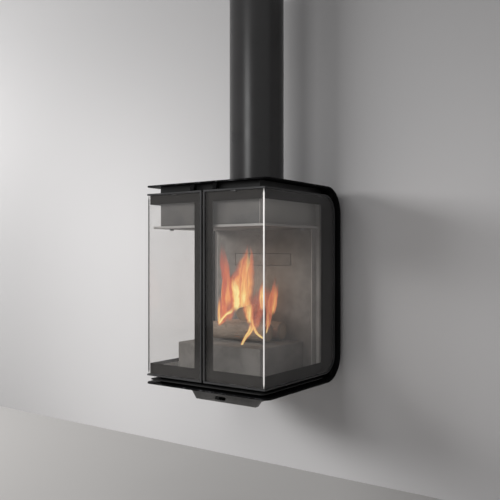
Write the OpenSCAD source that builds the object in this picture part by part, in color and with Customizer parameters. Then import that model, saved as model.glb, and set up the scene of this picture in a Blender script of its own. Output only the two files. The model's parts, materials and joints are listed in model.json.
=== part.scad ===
// Wall-mounted wood stove with two L-shaped glass doors, a C-shaped steel band and an insulated flue.
// X runs to the right, Y runs from the room to the wall, Z runs up. The wall is the plane Y = 0.
// The origin is the centre of the wall bracket's bolt pattern. All sizes are in millimetres.

/* [Body band] */
// Width of the band, which is the stove's width
body_w = 526; // [500:1:560]
// Height of the band over its top and bottom plates
body_h = 700; // [660:1:760]
// Depth of the band from its front edge to its back
body_d = 480; // [470:1:520]
// Thickness of the band's steel
band_t = 5; // [4:0.5:6]
// Outer radius of the band's bends at the back
band_r = 95; // [85:1:105]
// Radius of the plates' front corners, seen from above
plate_r = 25; // [10:1:40]

/* [Wall bracket] */
// Width of the bracket plate
bracket_w = 300; // [290:1:340]
// Height of the bracket plate
bracket_h = 360; // [350:1:400]
// Thickness of the bracket plate, which sets the gap behind the band
bracket_t = 12; // [8:1:16]
// Distance between the wall holes, across
wall_hole_w = 240; // [220:1:260]
// Distance between the wall holes, up
wall_hole_h = 300; // [280:1:310]
// Radius of a wall hole
wall_hole_r = 5.5; // [4.5:0.5:6.5]
// Radius of the holes through which a driver reaches the wall screws
access_r = 12; // [10:1:14]
// Distance between the hanging bolts, across
hang_w = 160; // [140:1:170]
// Distance between the hanging bolts, up
hang_h = 180; // [160:1:200]
// Shank radius of a hanging bolt
hang_r = 4; // [3:0.5:5]
// Width over the corners of a bolt head
bolt_head_w = 15; // [13:1:17]
// Height of a bolt head
bolt_head_h = 6; // [4:0.5:7]

/* [Doors] */
// Thickness of the ceramic glass
glass_t = 5; // [4:0.5:6]
// How far the glass front lies behind the plates' front edge
glass_setback = 4; // [3.5:0.5:8]
// How far the glass side lies inside the plates' side edge
glass_inset = 14; // [10:1:20]
// Height of the gap between a door and the plates
door_gap = 24; // [22:1:28]
// Gap between a door's rear edge and the band's back
door_back_gap = 17; // [15:1:22]
// Outer radius of a door's rear corners
door_r = 70; // [60:1:75]
// Gap between the two doors at the centre
centre_gap = 8; // [6:1:12]
// Width of the edge trim, in the plane of the glass
trim_w = 6; // [4:0.5:8]
// How far the trim stands out from the glass
trim_proud = 3; // [1:0.5:3.5]
// Thickness of the enamel border on the inside of the glass
enamel_t = 0.5; // [0.4:0.1:0.8]
// Enamel border along the top edge, with the trim
enamel_top = 38; // [36:1:50]
// Enamel border along the bottom edge, with the trim
enamel_bottom = 44; // [38:1:52]
// Enamel border beside the centre line
enamel_centre = 40; // [36:1:50]
// Enamel border along the rear edge, with the trim
enamel_back = 87; // [84:1:95]
// Cut corner of the enamel window at the rear
enamel_cut = 9; // [4:1:14]
// Width of the steel frame behind the enamel
frame_w = 25; // [20:1:28]
// Depth of the steel frame
frame_t = 10; // [8:0.5:12]
// Depth of the rope gasket
gasket_t = 3.8; // [3:0.1:5]
// Width of the rope gasket
gasket_w = 8; // [6:0.5:10]

/* [Door pivots and catches] */
// Distance from a door's rear edge to its pivot axis
pivot_back = 26; // [24:1:28]
// Radius of a pivot pin
pivot_r = 4; // [3:0.5:5]
// Running gap of a pivot pin in its bearing, on the radius
pivot_gap = 0.05; // [0.03:0.01:0.08]
// Radius of a pivot block and of its bearing
pivot_block_r = 8; // [7:0.5:9]
// Height of a pivot block's end over the door's edge
pivot_block_end = 5; // [4:0.5:6]
// Length of a pivot pin
pivot_len = 8; // [6:0.5:9]
// Distance of a catch from the centre line
catch_x = 48; // [44:1:60]
// Width of a catch
catch_w = 16; // [12:1:20]
// Height of a catch plate over the trim
catch_h = 14; // [10:1:16]
// Thickness of a catch plate
catch_t = 4; // [3:0.5:5]
// Depth of a catch magnet
magnet_d = 12; // [10:1:16]
// Gap between a catch magnet and the door's edge
magnet_gap = 4; // [3:0.5:6]
// Width of a glass clip
clip_w = 20; // [16:1:24]
// Height of a glass clip
clip_h = 4; // [3:0.5:6]
// Thickness of a glass clip
clip_t = 1; // [0.8:0.1:1.5]
// Distance of the front side clips from the glass front
clip_front = 105; // [90:1:130]
// Distance of the rear side clips from the door's rear edge
clip_rear = 112; // [90:1:130]

/* [Fire chamber] */
// Distance of the smoke box, back casing and base frames inside the plates' side edge
core_inset = 49; // [45:1:55]
// Distance of the smoke box front behind the plates' front edge
core_front = 30; // [28:1:34]
// Thickness of the inner steel sheets
sheet_t = 3; // [2:0.5:4]
// Height of the baffle's underside over the stove's middle
baffle_z = 198; // [180:1:220]
// Thickness of the baffle plate
baffle_t = 8; // [6:1:10]
// Gap between the baffle's edge and the side glass
baffle_gap = 4; // [3:1:12]
// Distance of the baffle's front behind the doors' frames
baffle_front = 0.5; // [0.5:0.5:5]
// Distance of the smoke slot's ends inside the smoke box's sides
smoke_slot_end = 64; // [50:1:80]
// Distance of the smoke slot behind the smoke box's front
smoke_slot_in = 30; // [24:1:36]
// Width of the smoke slot in the baffle
smoke_slot_d = 35; // [25:1:40]
// Width of the flange at the smoke box's foot
flange_w = 15; // [12:1:18]
// How far the smoke box reaches behind the flue
smoke_rear = 27; // [20:1:30]
// Distance of the front studs behind the plates' front edge
stud_front = 77; // [70:1:90]
// Distance of the rear studs in front of the back casing
stud_rear = 48; // [40:1:60]
// Radius of a stud
stud_r = 4; // [3:0.5:5]
// Height of a stud's end over the flange of the smoke box
stud_end = 4; // [2:0.5:6]
// Depth of the back casing, with its lining
back_d = 111; // [100:1:120]
// Gap between the back casing and the band's back
back_gap = 9; // [8:1:14]
// Thickness of the fire-clay lining
lining_t = 25; // [20:1:30]
// Width of the lining plate, which is let into the lining over the fire
inset_w = 250; // [230:1:270]
// Height of the lining plate
inset_h = 42; // [36:1:48]
// Height of the lining plate's middle over the stove's middle
inset_z = 89; // [60:1:110]
// Thickness of the lining plate
inset_t = 6; // [4:0.5:8]
// Gap around the lining plate
inset_gap = 1.5; // [0.5:0.5:2]
// Width of the ledge behind the lining plate's edge
inset_lip = 4; // [3:0.5:6]
// Thickness of the floor plate and of the top seal plate
seal_t = 6; // [5:0.5:8]
// Distance of the floor plate's rear in front of the back casing's rear
floor_rear = 16; // [12:1:20]
// Distance from a door's edge to the middle of the seal plates
seal_in = 12; // [11:0.5:14]
// Width of a side jamb plate's section
jamb_t = 4; // [3:0.5:5]
// Width of the centre post
post_w = 28; // [22:1:30]

/* [Base and hearth] */
// Height of the sill plate's top over the stove's underside
sill_z = 18; // [16:1:20]
// Thickness of the sill plate
sill_t = 3; // [2:0.5:4]
// Distance of the sill plate's sides inside the plates' side edge
sill_inset = 17; // [12:1:22]
// Radius of the sill plate's front corners
sill_r = 20; // [10:1:30]
// Distance of the base frame's rear from the wall
base_rear = 80; // [78:1:90]
// Distance of the floor frame's rear from the wall
frame_rear = 62; // [60:1:75]
// Distance of the sill's front behind the plates' front edge
sill_front = 3; // [2:1:8]
// Distance of the raised hearth box's sides inside the smoke box's sides
hearth_inset = 36; // [30:1:46]
// Distance of the hearth box's front behind the plates' front edge
hearth_front = 84; // [76:1:90]
// Height of the hearth box's top over the stove's underside
hearth_z = 145; // [135:1:155]
// Wall thickness of the hearth box
hearth_t = 6; // [5:0.5:8]
// Length of the grate
grate_w = 200; // [180:1:220]
// Depth of the grate
grate_d = 130; // [120:1:136]
// Thickness of the grate
grate_t = 8; // [6:1:10]
// Number of slots in the grate
grate_slots = 7; // [5:1:9]
// Half width of a grate slot
grate_slot_half = 5; // [4:0.5:6]
// Distance of the grate slots' ends from the grate's edge
grate_slot_end = 18; // [14:1:22]
// Width of the ledge that carries the grate
grate_rim = 8; // [6:1:10]
// Distance of the grate in front of the lining
grate_back = 28; // [20:1:36]
// How far the grate stands over the hearth box's top
grate_proud = 2; // [1:0.5:3]
// Height of the ash pan
ash_h = 56; // [50:1:64]
// Sheet thickness of the ash pan
ash_t = 2; // [1.5:0.5:2.5]
// Gap between the ash pan's rim and the grate's opening
ash_gap = 6; // [4:0.5:8]
// Radius of the air holes through the base
air_hole_r = 20; // [15:1:22]
// Distance between the two air holes
air_hole_w = 100; // [80:1:120]
// Distance between the air holes' edge and the grate
air_hole_gap = 20; // [14:1:26]
// Radius of a log
log_r = 36; // [30:1:38]
// Length of a log
log_len = 240; // [200:1:260]
// Radius of the crossing log
top_log_r = 29; // [24:1:32]
// Length of the crossing log
top_log_len = 163; // [140:1:165]
// Distance of the two lower logs from the grate's middle
log_apart = 45; // [40:1:50]
// Distance of the crossing log's middle from the centre line
top_log_x = 10; // [0:1:20]
// Turn of the crossing log, in degrees from square to the lower logs
top_log_turn = 18; // [0:1:30]

/* [Flue] */
// Distance of the flue's centre from the wall
flue_y = 174; // [172:1:185]
// Bore radius of the flue liner
flue_r = 75; // [70:1:76]
// Wall thickness of the liner, the casing and the spigot
flue_t = 2; // [1.5:0.5:2.5]
// Outer radius of the flue casing
casing_r = 100; // [98:1:104]
// Height of the flue over the stove's top
flue_h = 750; // [500:10:1000]
// Gap between the liner and the spigot around it
flue_gap = 0.4; // [0.3:0.1:0.6]
// Height of the spigot
spigot_h = 50; // [40:1:60]
// Height of the ring that closes the top
end_ring_h = 8; // [6:1:12]
// Thickness of the spigot's flange
spigot_flange = 4; // [3:0.5:6]
// How far the liner reaches into the smoke box
liner_in = 7; // [5:1:10]

/* [Air box] */
// Distance of the air box's front behind the plates' front edge
air_front = 126; // [120:1:140]
// Distance of the air box's rear from the wall
air_rear = 52; // [50:1:60]
// Height of the air box
air_h = 59; // [54:1:64]
// Half width of the air box at its foot
air_half = 130; // [120:1:140]
// How far the air box's ends lean outwards, for each unit of height
air_lean = 0.75; // [0.6:0.05:1]
// Depth of the air box's deep front part
air_deep = 16; // [14:1:30]
// Height of the air box's foot behind its front part, over the foot in front
air_step = 18; // [14:1:20]
// Half width of the deep duct along the air box's middle
duct_half = 50; // [48:1:60]
// Sheet thickness of the air box
air_t = 2.5; // [2:0.5:3]
// Length of the lever slot
slot_w = 48; // [44:1:54]
// Height of the lever slot
slot_h = 12; // [10:1:14]
// Distance of the slot's centre from the centre line, to the left
slot_x = 22; // [10:1:30]
// Height of the slot's centre over the air box's foot
slot_z = 13; // [12:0.5:15]
// Width of the lever
lever_w = 16; // [12:1:18]
// Height of the lever
lever_h = 8; // [6:0.5:8.5]
// Height of the port plate over the air box's foot
port_z = 32; // [31:0.5:40]
// Radius of a port
port_r = 13; // [10:0.5:13]
// How far the port plate reaches behind the shutter
port_rear = 30; // [20:1:40]
// Distance of the shutter behind the air box's front sheet
shutter_in = 12; // [10:1:16]
// Thickness of the shutter
shutter_t = 3; // [2:0.5:3]
// Width of the rail lips under the shutter
rail_lip = 5; // [4:0.5:6]
// Distance of the rails' ends inside the port plate's ends
rail_end = 18; // [14:1:22]
// Length of the shutter, across
shutter_w = 165; // [160:1:175]
// Depth of the shutter
shutter_d = 60; // [50:1:70]
// Bore radius of the air inlet
inlet_r = 23; // [20:0.5:23]
// Wall thickness of the air inlet
inlet_t = 2; // [1.5:0.5:2.5]
// Height of the air inlet's axis over the air box's foot
inlet_rise = 30; // [28:0.5:32]
// How far the air inlet reaches into the air box
inlet_in = 6; // [4:1:10]
// How much less the air inlet's radius is where it passes the air box
inlet_neck = 0.5; // [0.5:0.1:0.8]
// Length of the air inlet's neck behind the air box
inlet_stand = 1; // [1:0.5:3]

/* [Fits] */
// Gap between pieces that move past each other
slide_gap = 0.3; // [0.3:0.1:0.5]
// Gap between the lever and each end of its slot
end_gap = 2.5; // [2:0.5:3]

/* [Hidden] */
$fn = 96;
eps = 0.01;

front_y = -(bracket_t + body_d);
back_y = -bracket_t;
half_w = body_w / 2;
top_z = body_h / 2;
in_top = top_z - band_t;
in_back = back_y - band_t;
in_r = band_r - band_t;

glass_x = half_w - glass_inset;
glass_y = front_y + glass_setback;
glass_in_x = glass_x - glass_t;
glass_in_y = glass_y + glass_t;
door_z = in_top - door_gap;
door_back = in_back - door_back_gap;
door_x = centre_gap / 2;
trim_x = glass_x + trim_proud;
trim_y = glass_y - trim_proud;
window_top = door_z - enamel_top;
window_bottom = -door_z + enamel_bottom;
window_back = door_back - enamel_back;
frame_in_x = glass_in_x - enamel_t - frame_t;
frame_in_y = glass_in_y + enamel_t + frame_t;
stile_back = window_back + frame_w + trim_w;
seal_x = frame_in_x - gasket_t;
seal_y = frame_in_y + gasket_t;
seal_z = door_z - seal_in;
pivot_x = glass_x - glass_t / 2;
pivot_y = door_back - pivot_back;
pivot_top = door_z - pivot_block_end;

core_half = half_w - core_inset;
core_y = front_y + core_front;
baffle_half = glass_in_x - baffle_gap;
smoke_slot_half = core_half - smoke_slot_end;
smoke_slot_y = core_y + smoke_slot_in;
smoke_back = -(flue_y - flue_r - flue_t) + smoke_rear;
baffle_y = frame_in_y + baffle_front;
baffle_top = baffle_z + baffle_t;
back_y0 = in_back - back_gap - back_d;
back_y1 = in_back - back_gap;
stud_x = core_half - sheet_t - flange_w / 2;
stud_ys = [front_y + stud_front, back_y0 - stud_rear];
jamb_y = back_y0 + lining_t;
floor_top = -seal_z + seal_t / 2;
floor_low = -seal_z - seal_t / 2;

base_low = -in_top;
sill_top = -top_z + sill_z;
sill_y = front_y + sill_front;
sill_half = half_w - sill_inset;
hearth_half = core_half - hearth_inset;
hearth_y = front_y + hearth_front;
hearth_top = -top_z + hearth_z;
grate_y = back_y0 - grate_d / 2 - grate_back;
grate_top = hearth_top + grate_proud;
air_hole_y = grate_y - grate_d / 2 - air_hole_r - air_hole_gap;

air_y = front_y + air_front;
air_low = -top_z - air_h;
port_low = air_low + port_z;
slot_y0 = air_y + air_t;
air_step_z = air_low + air_step;
slot_mid = air_low + slot_z;
travel = slot_w - lever_w - 2 * end_gap;
lever_x = -slot_x - slot_w / 2 + end_gap;
shutter_top = port_low - slide_gap;
shutter_low = shutter_top - shutter_t;
shutter_y = air_y + air_t + shutter_in;
inlet_z = air_low + inlet_rise;
inlet_neck_r = inlet_r + inlet_t - inlet_neck;

// Moves a flat shape into the Y-Z plane and draws it from x0 to x1.
module along_x(x0, x1) {
    translate([x0, 0, 0]) rotate([90, 0, 90]) linear_extrude(x1 - x0) children();
}

// Moves a flat shape into the X-Z plane and draws it from y0 to y1.
module along_y(y0, y1) {
    translate([0, y1, 0]) rotate([90, 0, 0]) linear_extrude(y1 - y0) children();
}

// Draws a flat shape in the X-Y plane from z0 to z1.
module along_z(z0, z1) {
    translate([0, 0, z0]) linear_extrude(z1 - z0) children();
}

// A box from its low corner to its high corner.
module block(low, high) {
    translate(low) cube(high - low);
}

// The same shape on the right and on the left.
module both_sides() {
    children();
    mirror([1, 0, 0]) children();
}

// The same shape at the top and at the foot.
module top_and_foot() {
    children();
    mirror([0, 0, 1]) children();
}

// Side outline with two rounded rear corners: y0 to y1 long, z half height, r corner radius.
module side_outline(y0, y1, z, r) {
    translate([y0, -z]) square([y1 - r - y0, 2 * z]);
    translate([y1 - r - eps, r - z]) square([r + eps, 2 * (z - r)]);
    for (s = [-1, 1]) translate([y1 - r, s * (z - r)]) circle(r);
}

// Outline seen from above with two rounded front corners.
module plan_outline(half, y0, y1, r) {
    translate([-half, y0 + r]) square([2 * half, y1 - y0 - r]);
    translate([r - half, y0]) square([2 * (half - r), r + eps]);
    for (s = [-1, 1]) translate([s * (half - r), y0 + r]) circle(r);
}

// The whole space inside the band's outer surface.
module band_outside(side) {
    along_x(-side, side) side_outline(front_y, back_y, top_z, band_r);
}

// The space inside the band's inner surface.
module band_inside(side) {
    along_x(-side, side) side_outline(front_y - 50, in_back, in_top, in_r);
}

// Four copies on a rectangle in the X-Z plane.
module rectangle(w, h) {
    for (x = [-w / 2, w / 2], z = [-h / 2, h / 2]) translate([x, 0, z]) children();
}

// A round bar along Y.
module bar_y(y0, y1, r) {
    translate([0, y1, 0]) rotate([90, 0, 0]) cylinder(h = y1 - y0, r = r);
}

// A rectangular frame seen from above, with walls t thick.
module plan_frame(half, y0, y1, t, z0, z1) {
    difference() {
        block([-half, y0, z0], [half, y1, z1]);
        block([t - half, y0 + t, z0 - 1], [half - t, y1 - t, z1 + 1]);
    }
}

// The two air holes through the base, from z0 to z1.
module base_air_holes(z0, z1) {
    for (s = [-1, 1]) translate([s * air_hole_w / 2, air_hole_y, z0])
        cylinder(h = z1 - z0, r = air_hole_r);
}

// A copy at each stud of the baffle.
module at_studs() {
    for (s = [-1, 1], y = stud_ys) translate([s * stud_x, y, 0]) children();
}

module casing_band() {
    color("#1a1b1d") difference() {
        intersection() {
            difference() {
                band_outside(half_w);
                band_inside(half_w + 1);
            }
            along_z(-top_z - 1, top_z + 1) plan_outline(half_w, front_y, back_y + 1, plate_r);
        }
        translate([0, -flue_y, 0]) cylinder(h = top_z + 1, r = flue_r + flue_t + slide_gap);
        base_air_holes(-top_z - 1, -in_top + 1);
        rectangle(hang_w, hang_h) bar_y(in_back - 1, back_y + 1, hang_r + slide_gap);
        rectangle(wall_hole_w, wall_hole_h) bar_y(in_back - 1, back_y + 1, access_r);
    }
}

module wall_bracket() {
    color("#3a3b3d") difference() {
        block([-bracket_w / 2, back_y, -bracket_h / 2], [bracket_w / 2, 0, bracket_h / 2]);
        rectangle(hang_w, hang_h) bar_y(back_y - 1, 1, hang_r);
        rectangle(wall_hole_w, wall_hole_h) bar_y(back_y - 1, 1, wall_hole_r);
    }
}

module hanging_bolts() {
    color("#8d8f92") rectangle(hang_w, hang_h) {
        bar_y(in_back - eps, -slide_gap, hang_r);
        translate([0, in_back, 0]) rotate([90, 0, 0])
            cylinder(h = bolt_head_h, r = bolt_head_w / 2, $fn = 6);
    }
}

module smoke_box() {
    color("#5d5650") difference() {
        intersection() {
            block([-core_half, core_y, baffle_top], [core_half, smoke_back, in_top]);
            band_inside(core_half + 1);
        }
        block([sheet_t - core_half, core_y + sheet_t, baffle_top + sheet_t],
            [core_half - sheet_t, smoke_back - sheet_t, in_top + 1]);
        block([flange_w + sheet_t - core_half, core_y + sheet_t + flange_w, baffle_top - 1],
            [core_half - sheet_t - flange_w, smoke_back - sheet_t - flange_w, baffle_top + sheet_t + 1]);
        at_studs() translate([0, 0, baffle_top - 1]) cylinder(h = sheet_t + 2, r = stud_r);
    }
}

module top_seal_plate() {
    color("#2b2b2c") difference() {
        block([-seal_x, seal_y, seal_z - seal_t / 2], [seal_x, jamb_y + jamb_t, seal_z + seal_t / 2]);
        block([-core_half, core_y, 0], [core_half, 0, in_top]);
    }
}

module baffle_plate() {
    color("#6a625b") difference() {
        block([-baffle_half, baffle_y, baffle_z], [baffle_half, back_y0, baffle_top]);
        block([-smoke_slot_half, smoke_slot_y, baffle_z - 1],
            [smoke_slot_half, smoke_slot_y + smoke_slot_d, baffle_top + 1]);
        block([-post_w / 2 - slide_gap, baffle_y - 1, baffle_z - 1],
            [post_w / 2 + slide_gap, core_y, baffle_top + 1]);
        at_studs() translate([0, 0, baffle_z - 1]) cylinder(h = baffle_t + 2, r = stud_r);
    }
}

module baffle_studs() {
    color("#8d8f92") at_studs() {
        translate([0, 0, baffle_z - eps]) cylinder(h = baffle_t + sheet_t + stud_end, r = stud_r);
        translate([0, 0, baffle_z - bolt_head_h]) cylinder(h = bolt_head_h, r = bolt_head_w / 2, $fn = 6);
    }
}

// A round tube about the flue's axis.
module flue_tube(r0, r1, z0, z1) {
    translate([0, -flue_y, z0]) difference() {
        cylinder(h = z1 - z0, r = r1);
        translate([0, 0, -1]) cylinder(h = z1 - z0 + 2, r = r0);
    }
}

module flue_spigot() {
    spigot_r = flue_r + flue_t + flue_gap;
    color("#8d8f92") {
        flue_tube(spigot_r, spigot_r + flue_t, top_z, top_z + spigot_h);
        flue_tube(spigot_r + flue_t - eps, casing_r - flue_t - slide_gap, top_z, top_z + spigot_flange);
    }
}

module flue_liner() {
    color("#9a9c9f") flue_tube(flue_r, flue_r + flue_t, in_top - liner_in, top_z + flue_h);
}

module flue_insulation() {
    color("#c9c3b4")
        flue_tube(flue_r + flue_t, casing_r - flue_t, top_z + spigot_h, top_z + flue_h - end_ring_h);
}

module flue_casing() {
    color("#232325") difference() {
        flue_tube(casing_r - flue_t, casing_r, in_top - band_r, top_z + flue_h);
        band_outside(half_w);
    }
}

module flue_end_ring() {
    color("#3a3b3d")
        flue_tube(flue_r + flue_t, casing_r - flue_t, top_z + flue_h - end_ring_h, top_z + flue_h);
}

module back_casing() {
    color("#2b2b2c") difference() {
        intersection() {
            block([-core_half, back_y0, floor_top], [core_half, back_y1, baffle_top]);
            band_inside(core_half + 1);
        }
        intersection() {
            block([sheet_t - core_half, back_y0 - 1, floor_top + sheet_t],
                [core_half - sheet_t, back_y1 - sheet_t, baffle_top - sheet_t]);
            along_x(-core_half, core_half)
                side_outline(front_y, in_back - sheet_t, in_top - sheet_t, in_r - sheet_t);
        }
        rectangle(wall_hole_w, wall_hole_h) bar_y(back_y1 - 2 * sheet_t, back_y1 + 1, access_r);
    }
}

// A block about the lining plate's centre, larger than the plate by grow on each side.
module inset_block(y0, y1, grow) {
    translate([0, 0, inset_z])
        block([-inset_w / 2 - grow, y0, -inset_h / 2 - grow], [inset_w / 2 + grow, y1, inset_h / 2 + grow]);
}

module back_lining() {
    color("#8a8078") difference() {
        block([sheet_t - core_half, back_y0, floor_top + sheet_t],
            [core_half - sheet_t, back_y0 + lining_t, baffle_top - sheet_t]);
        inset_block(back_y0 - 1, back_y0 + inset_t, inset_gap);
        inset_block(back_y0, back_y0 + lining_t + 1, -inset_lip);
    }
}

module lining_plate() {
    color("#8a8078") inset_block(back_y0, back_y0 + inset_t, 0);
}

module side_jambs() {
    color("#2b2b2c") both_sides()
        block([core_half, jamb_y, floor_top], [seal_x, jamb_y + jamb_t, seal_z - seal_t / 2]);
}

module centre_post() {
    color("#2b2b2c") block([-post_w / 2, seal_y, floor_top], [post_w / 2, core_y, seal_z - seal_t / 2]);
}

module floor_plate() {
    color("#6a625b") difference() {
        union() {
            block([-seal_x, seal_y, floor_low], [seal_x, jamb_y + jamb_t, floor_top]);
            block([-core_half, jamb_y, floor_low], [core_half, back_y1 - floor_rear, floor_top]);
        }
        base_air_holes(floor_low - 1, floor_top + 1);
    }
}

module floor_frame() {
    color("#2b2b2c") intersection() {
        plan_frame(core_half, core_y, -frame_rear, sheet_t, sill_top, floor_low);
        band_inside(core_half + 1);
    }
}

module sill_plate() {
    color("#3c3b3a") difference() {
        union() {
            along_z(sill_top - sill_t, sill_top) plan_outline(sill_half, sill_y, jamb_y, sill_r);
            block([-core_half, jamb_y - 1, sill_top - sill_t], [core_half, -base_rear, sill_top]);
        }
        base_air_holes(sill_top - sill_t - 1, sill_top + 1);
    }
}

module base_frame() {
    color("#1f1f20") intersection() {
        plan_frame(core_half, core_y, -base_rear, sheet_t, base_low, sill_top - sill_t);
        band_inside(core_half + 1);
    }
}

module hearth_box() {
    ledge = grate_top - grate_t;
    color("#7b7169") difference() {
        block([-hearth_half, hearth_y, floor_top], [hearth_half, back_y0, hearth_top]);
        block([hearth_t - hearth_half, hearth_y + hearth_t, floor_top - 1],
            [hearth_half - hearth_t, back_y0 - hearth_t, ledge - hearth_t]);
        block([-grate_w / 2 - slide_gap, grate_y - grate_d / 2 - slide_gap, ledge],
            [grate_w / 2 + slide_gap, grate_y + grate_d / 2 + slide_gap, hearth_top + 1]);
        block([grate_rim - grate_w / 2, grate_y - grate_d / 2 + grate_rim, ledge - hearth_t - 1],
            [grate_w / 2 - grate_rim, grate_y + grate_d / 2 - grate_rim, hearth_top]);
    }
}

module grate() {
    pitch = (grate_w - 2 * grate_rim) / (grate_slots + 1);
    color("#33312f") difference() {
        block([-grate_w / 2, grate_y - grate_d / 2, grate_top - grate_t],
            [grate_w / 2, grate_y + grate_d / 2, grate_top]);
        for (i = [1:grate_slots]) translate([i * pitch + grate_rim - grate_w / 2, grate_y, 0])
            block([-grate_slot_half, grate_slot_end - grate_d / 2, grate_top - grate_t - 1],
                [grate_slot_half, grate_d / 2 - grate_slot_end, grate_top + 1]);
    }
}

module ash_pan() {
    half = grate_w / 2 - grate_rim - ash_gap;
    deep = grate_d / 2 - grate_rim - ash_gap;
    color("#55585a") difference() {
        block([-half, grate_y - deep, floor_top], [half, grate_y + deep, floor_top + ash_h]);
        block([ash_t - half, grate_y - deep + ash_t, floor_top + ash_t],
            [half - ash_t, grate_y + deep - ash_t, floor_top + ash_h + 1]);
    }
}

module firewood() {
    color("#6b4a30") {
        for (s = [-1, 1]) translate([0, grate_y + s * log_apart, grate_top + log_r])
            rotate([0, 90, 0]) cylinder(h = log_len, r = log_r, center = true);
        translate([top_log_x, grate_y, grate_top + 2 * log_r + top_log_r])
            rotate([90, 0, top_log_turn]) cylinder(h = top_log_len, r = top_log_r, center = true);
    }
}

// The air box's outline seen from the front, with walls pulled in by t and its foot at low.
module air_outline(t, low) {
    rise = air_h + band_r / 4;
    half = air_half + air_lean * (low - air_low) - t * sqrt(1 + air_lean * air_lean);
    lean = air_lean * rise;
    polygon([[-half, low], [half, low], [half + lean, low + rise], [-half - lean, low + rise]]);
}

// The air box's whole space, with walls pulled in by t, from y0 to y1.
module air_space(t, y0, y1) {
    along_y(y0, air_y + air_deep - t) air_outline(t, air_low + t);
    along_y(y0, y1 - t) air_outline(t, air_step_z + t);
    block([t - duct_half, y0, air_low + t], [duct_half - t, y1 - t, air_step_z + 2 * t]);
}

// A slot with round ends, from y0 to y1.
module lever_slot(y0, y1) {
    for (s = [-1, 1]) translate([s * (slot_w - slot_h) / 2 - slot_x, 0, slot_mid])
        bar_y(y0, y1, slot_h / 2);
    block([-slot_x - (slot_w - slot_h) / 2, y0, slot_mid - slot_h / 2],
        [-slot_x + (slot_w - slot_h) / 2, y1, slot_mid + slot_h / 2]);
}

module air_front_sheet() {
    color("#46484a") difference() {
        along_y(air_y, slot_y0) air_outline(0, air_low);
        band_outside(half_w + air_h);
        lever_slot(air_y - 1, slot_y0 + 1);
    }
}

module air_box() {
    color("#46484a") difference() {
        air_space(0, slot_y0, -air_rear);
        air_space(air_t, slot_y0 - 1, -air_rear);
        band_outside(half_w + air_h);
        translate([0, 0, inlet_z]) bar_y(-air_rear - air_t - 1, -air_rear + 1, inlet_neck_r);
    }
}

module port_plate() {
    half = air_half + air_lean * port_z - air_t * sqrt(1 + air_lean * air_lean) - slide_gap;
    rail_y0 = shutter_y - slide_gap;
    rail_y1 = shutter_y + shutter_d + slide_gap;
    rail_x = half - rail_end;
    rail_z1 = shutter_low - slide_gap;
    rail_z0 = rail_z1 - sheet_t;
    color("#2b2b2c") difference() {
        union() {
            block([-half, slot_y0, port_low],
                [half, shutter_y + shutter_d + port_rear, port_low + sheet_t]);
            for (y = [rail_y0 - sheet_t, rail_y1])
                block([-rail_x, y, rail_z0], [rail_x, y + sheet_t, port_low + eps]);
            block([-rail_x, rail_y0 - eps, rail_z0], [rail_x, rail_y0 + rail_lip, rail_z1]);
            block([-rail_x, rail_y1 - rail_lip, rail_z0], [rail_x, rail_y1 + eps, rail_z1]);
        }
        for (s = [-1, 1]) translate([s * air_hole_w / 2, shutter_y + shutter_d / 2, port_low - 1])
            cylinder(h = sheet_t + 2, r = port_r);
        block([lever_x - end_gap, slot_y0 - 1, air_low],
            [lever_x + travel + lever_w + end_gap, rail_y0 + rail_lip + 1, shutter_top]);
    }
}

module air_shutter() {
    color("#5d5f61") difference() {
        union() {
            block([-shutter_w / 2 - travel / 2, shutter_y, shutter_low],
                [shutter_w / 2 - travel / 2, shutter_y + shutter_d, shutter_top]);
            block([lever_x, air_y + 1, slot_mid - lever_h / 2],
                [lever_x + lever_w, shutter_y + lever_h, slot_mid + lever_h / 2]);
            block([lever_x, shutter_y, slot_mid - lever_h / 2],
                [lever_x + lever_w, shutter_y + lever_h, shutter_low + eps]);
        }
        for (s = [-1, 1])
            translate([s * air_hole_w / 2 - travel, shutter_y + shutter_d / 2, shutter_low - 1])
                cylinder(h = shutter_t + 2, r = port_r);
    }
}

module air_inlet() {
    color("#46484a") translate([0, 0, inlet_z]) difference() {
        union() {
            bar_y(-air_rear - air_t - inlet_in, in_back, inlet_neck_r);
            bar_y(-air_rear + inlet_stand, in_back, inlet_r + inlet_t);
        }
        bar_y(-air_rear - air_t - inlet_in - 1, in_back + 1, inlet_r);
    }
}

module pivot_bearings() {
    color("#1a1b1d") both_sides() top_and_foot() difference() {
        intersection() {
            translate([pivot_x, pivot_y, pivot_top + slide_gap])
                cylinder(h = top_z - pivot_top, r = pivot_block_r);
            band_inside(half_w);
        }
        translate([pivot_x, pivot_y, pivot_top])
            cylinder(h = pivot_len + slide_gap + 1, r = pivot_r + pivot_gap);
    }
}

module catch_magnets() {
    color("#2b2b2c") both_sides()
        block([catch_x - catch_w / 2, glass_in_y - enamel_t + slide_gap, door_z + magnet_gap],
            [catch_x + catch_w / 2, glass_in_y - enamel_t + slide_gap + magnet_d, in_top]);
}

// The parts of the right door. The left door is its mirror image.
module door_side_outline(t, y0) {
    side_outline(y0, door_back - t, door_z - t, door_r - t);
}

module door_trim() {
    along_y(trim_y, glass_in_y) difference() {
        translate([door_x, -door_z]) square([trim_x - door_x, 2 * door_z]);
        translate([door_x + trim_w, trim_w - door_z]) square([trim_x, 2 * (door_z - trim_w)]);
    }
    along_x(glass_in_x, trim_x) difference() {
        door_side_outline(0, trim_y);
        door_side_outline(trim_w, trim_y - 1);
    }
}

module door_front_glass() {
    block([door_x + trim_w, glass_y, trim_w - door_z], [glass_in_x, glass_in_y, door_z - trim_w]);
}

module door_side_glass() {
    along_x(glass_in_x, glass_x) door_side_outline(trim_w, glass_y);
}

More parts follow.
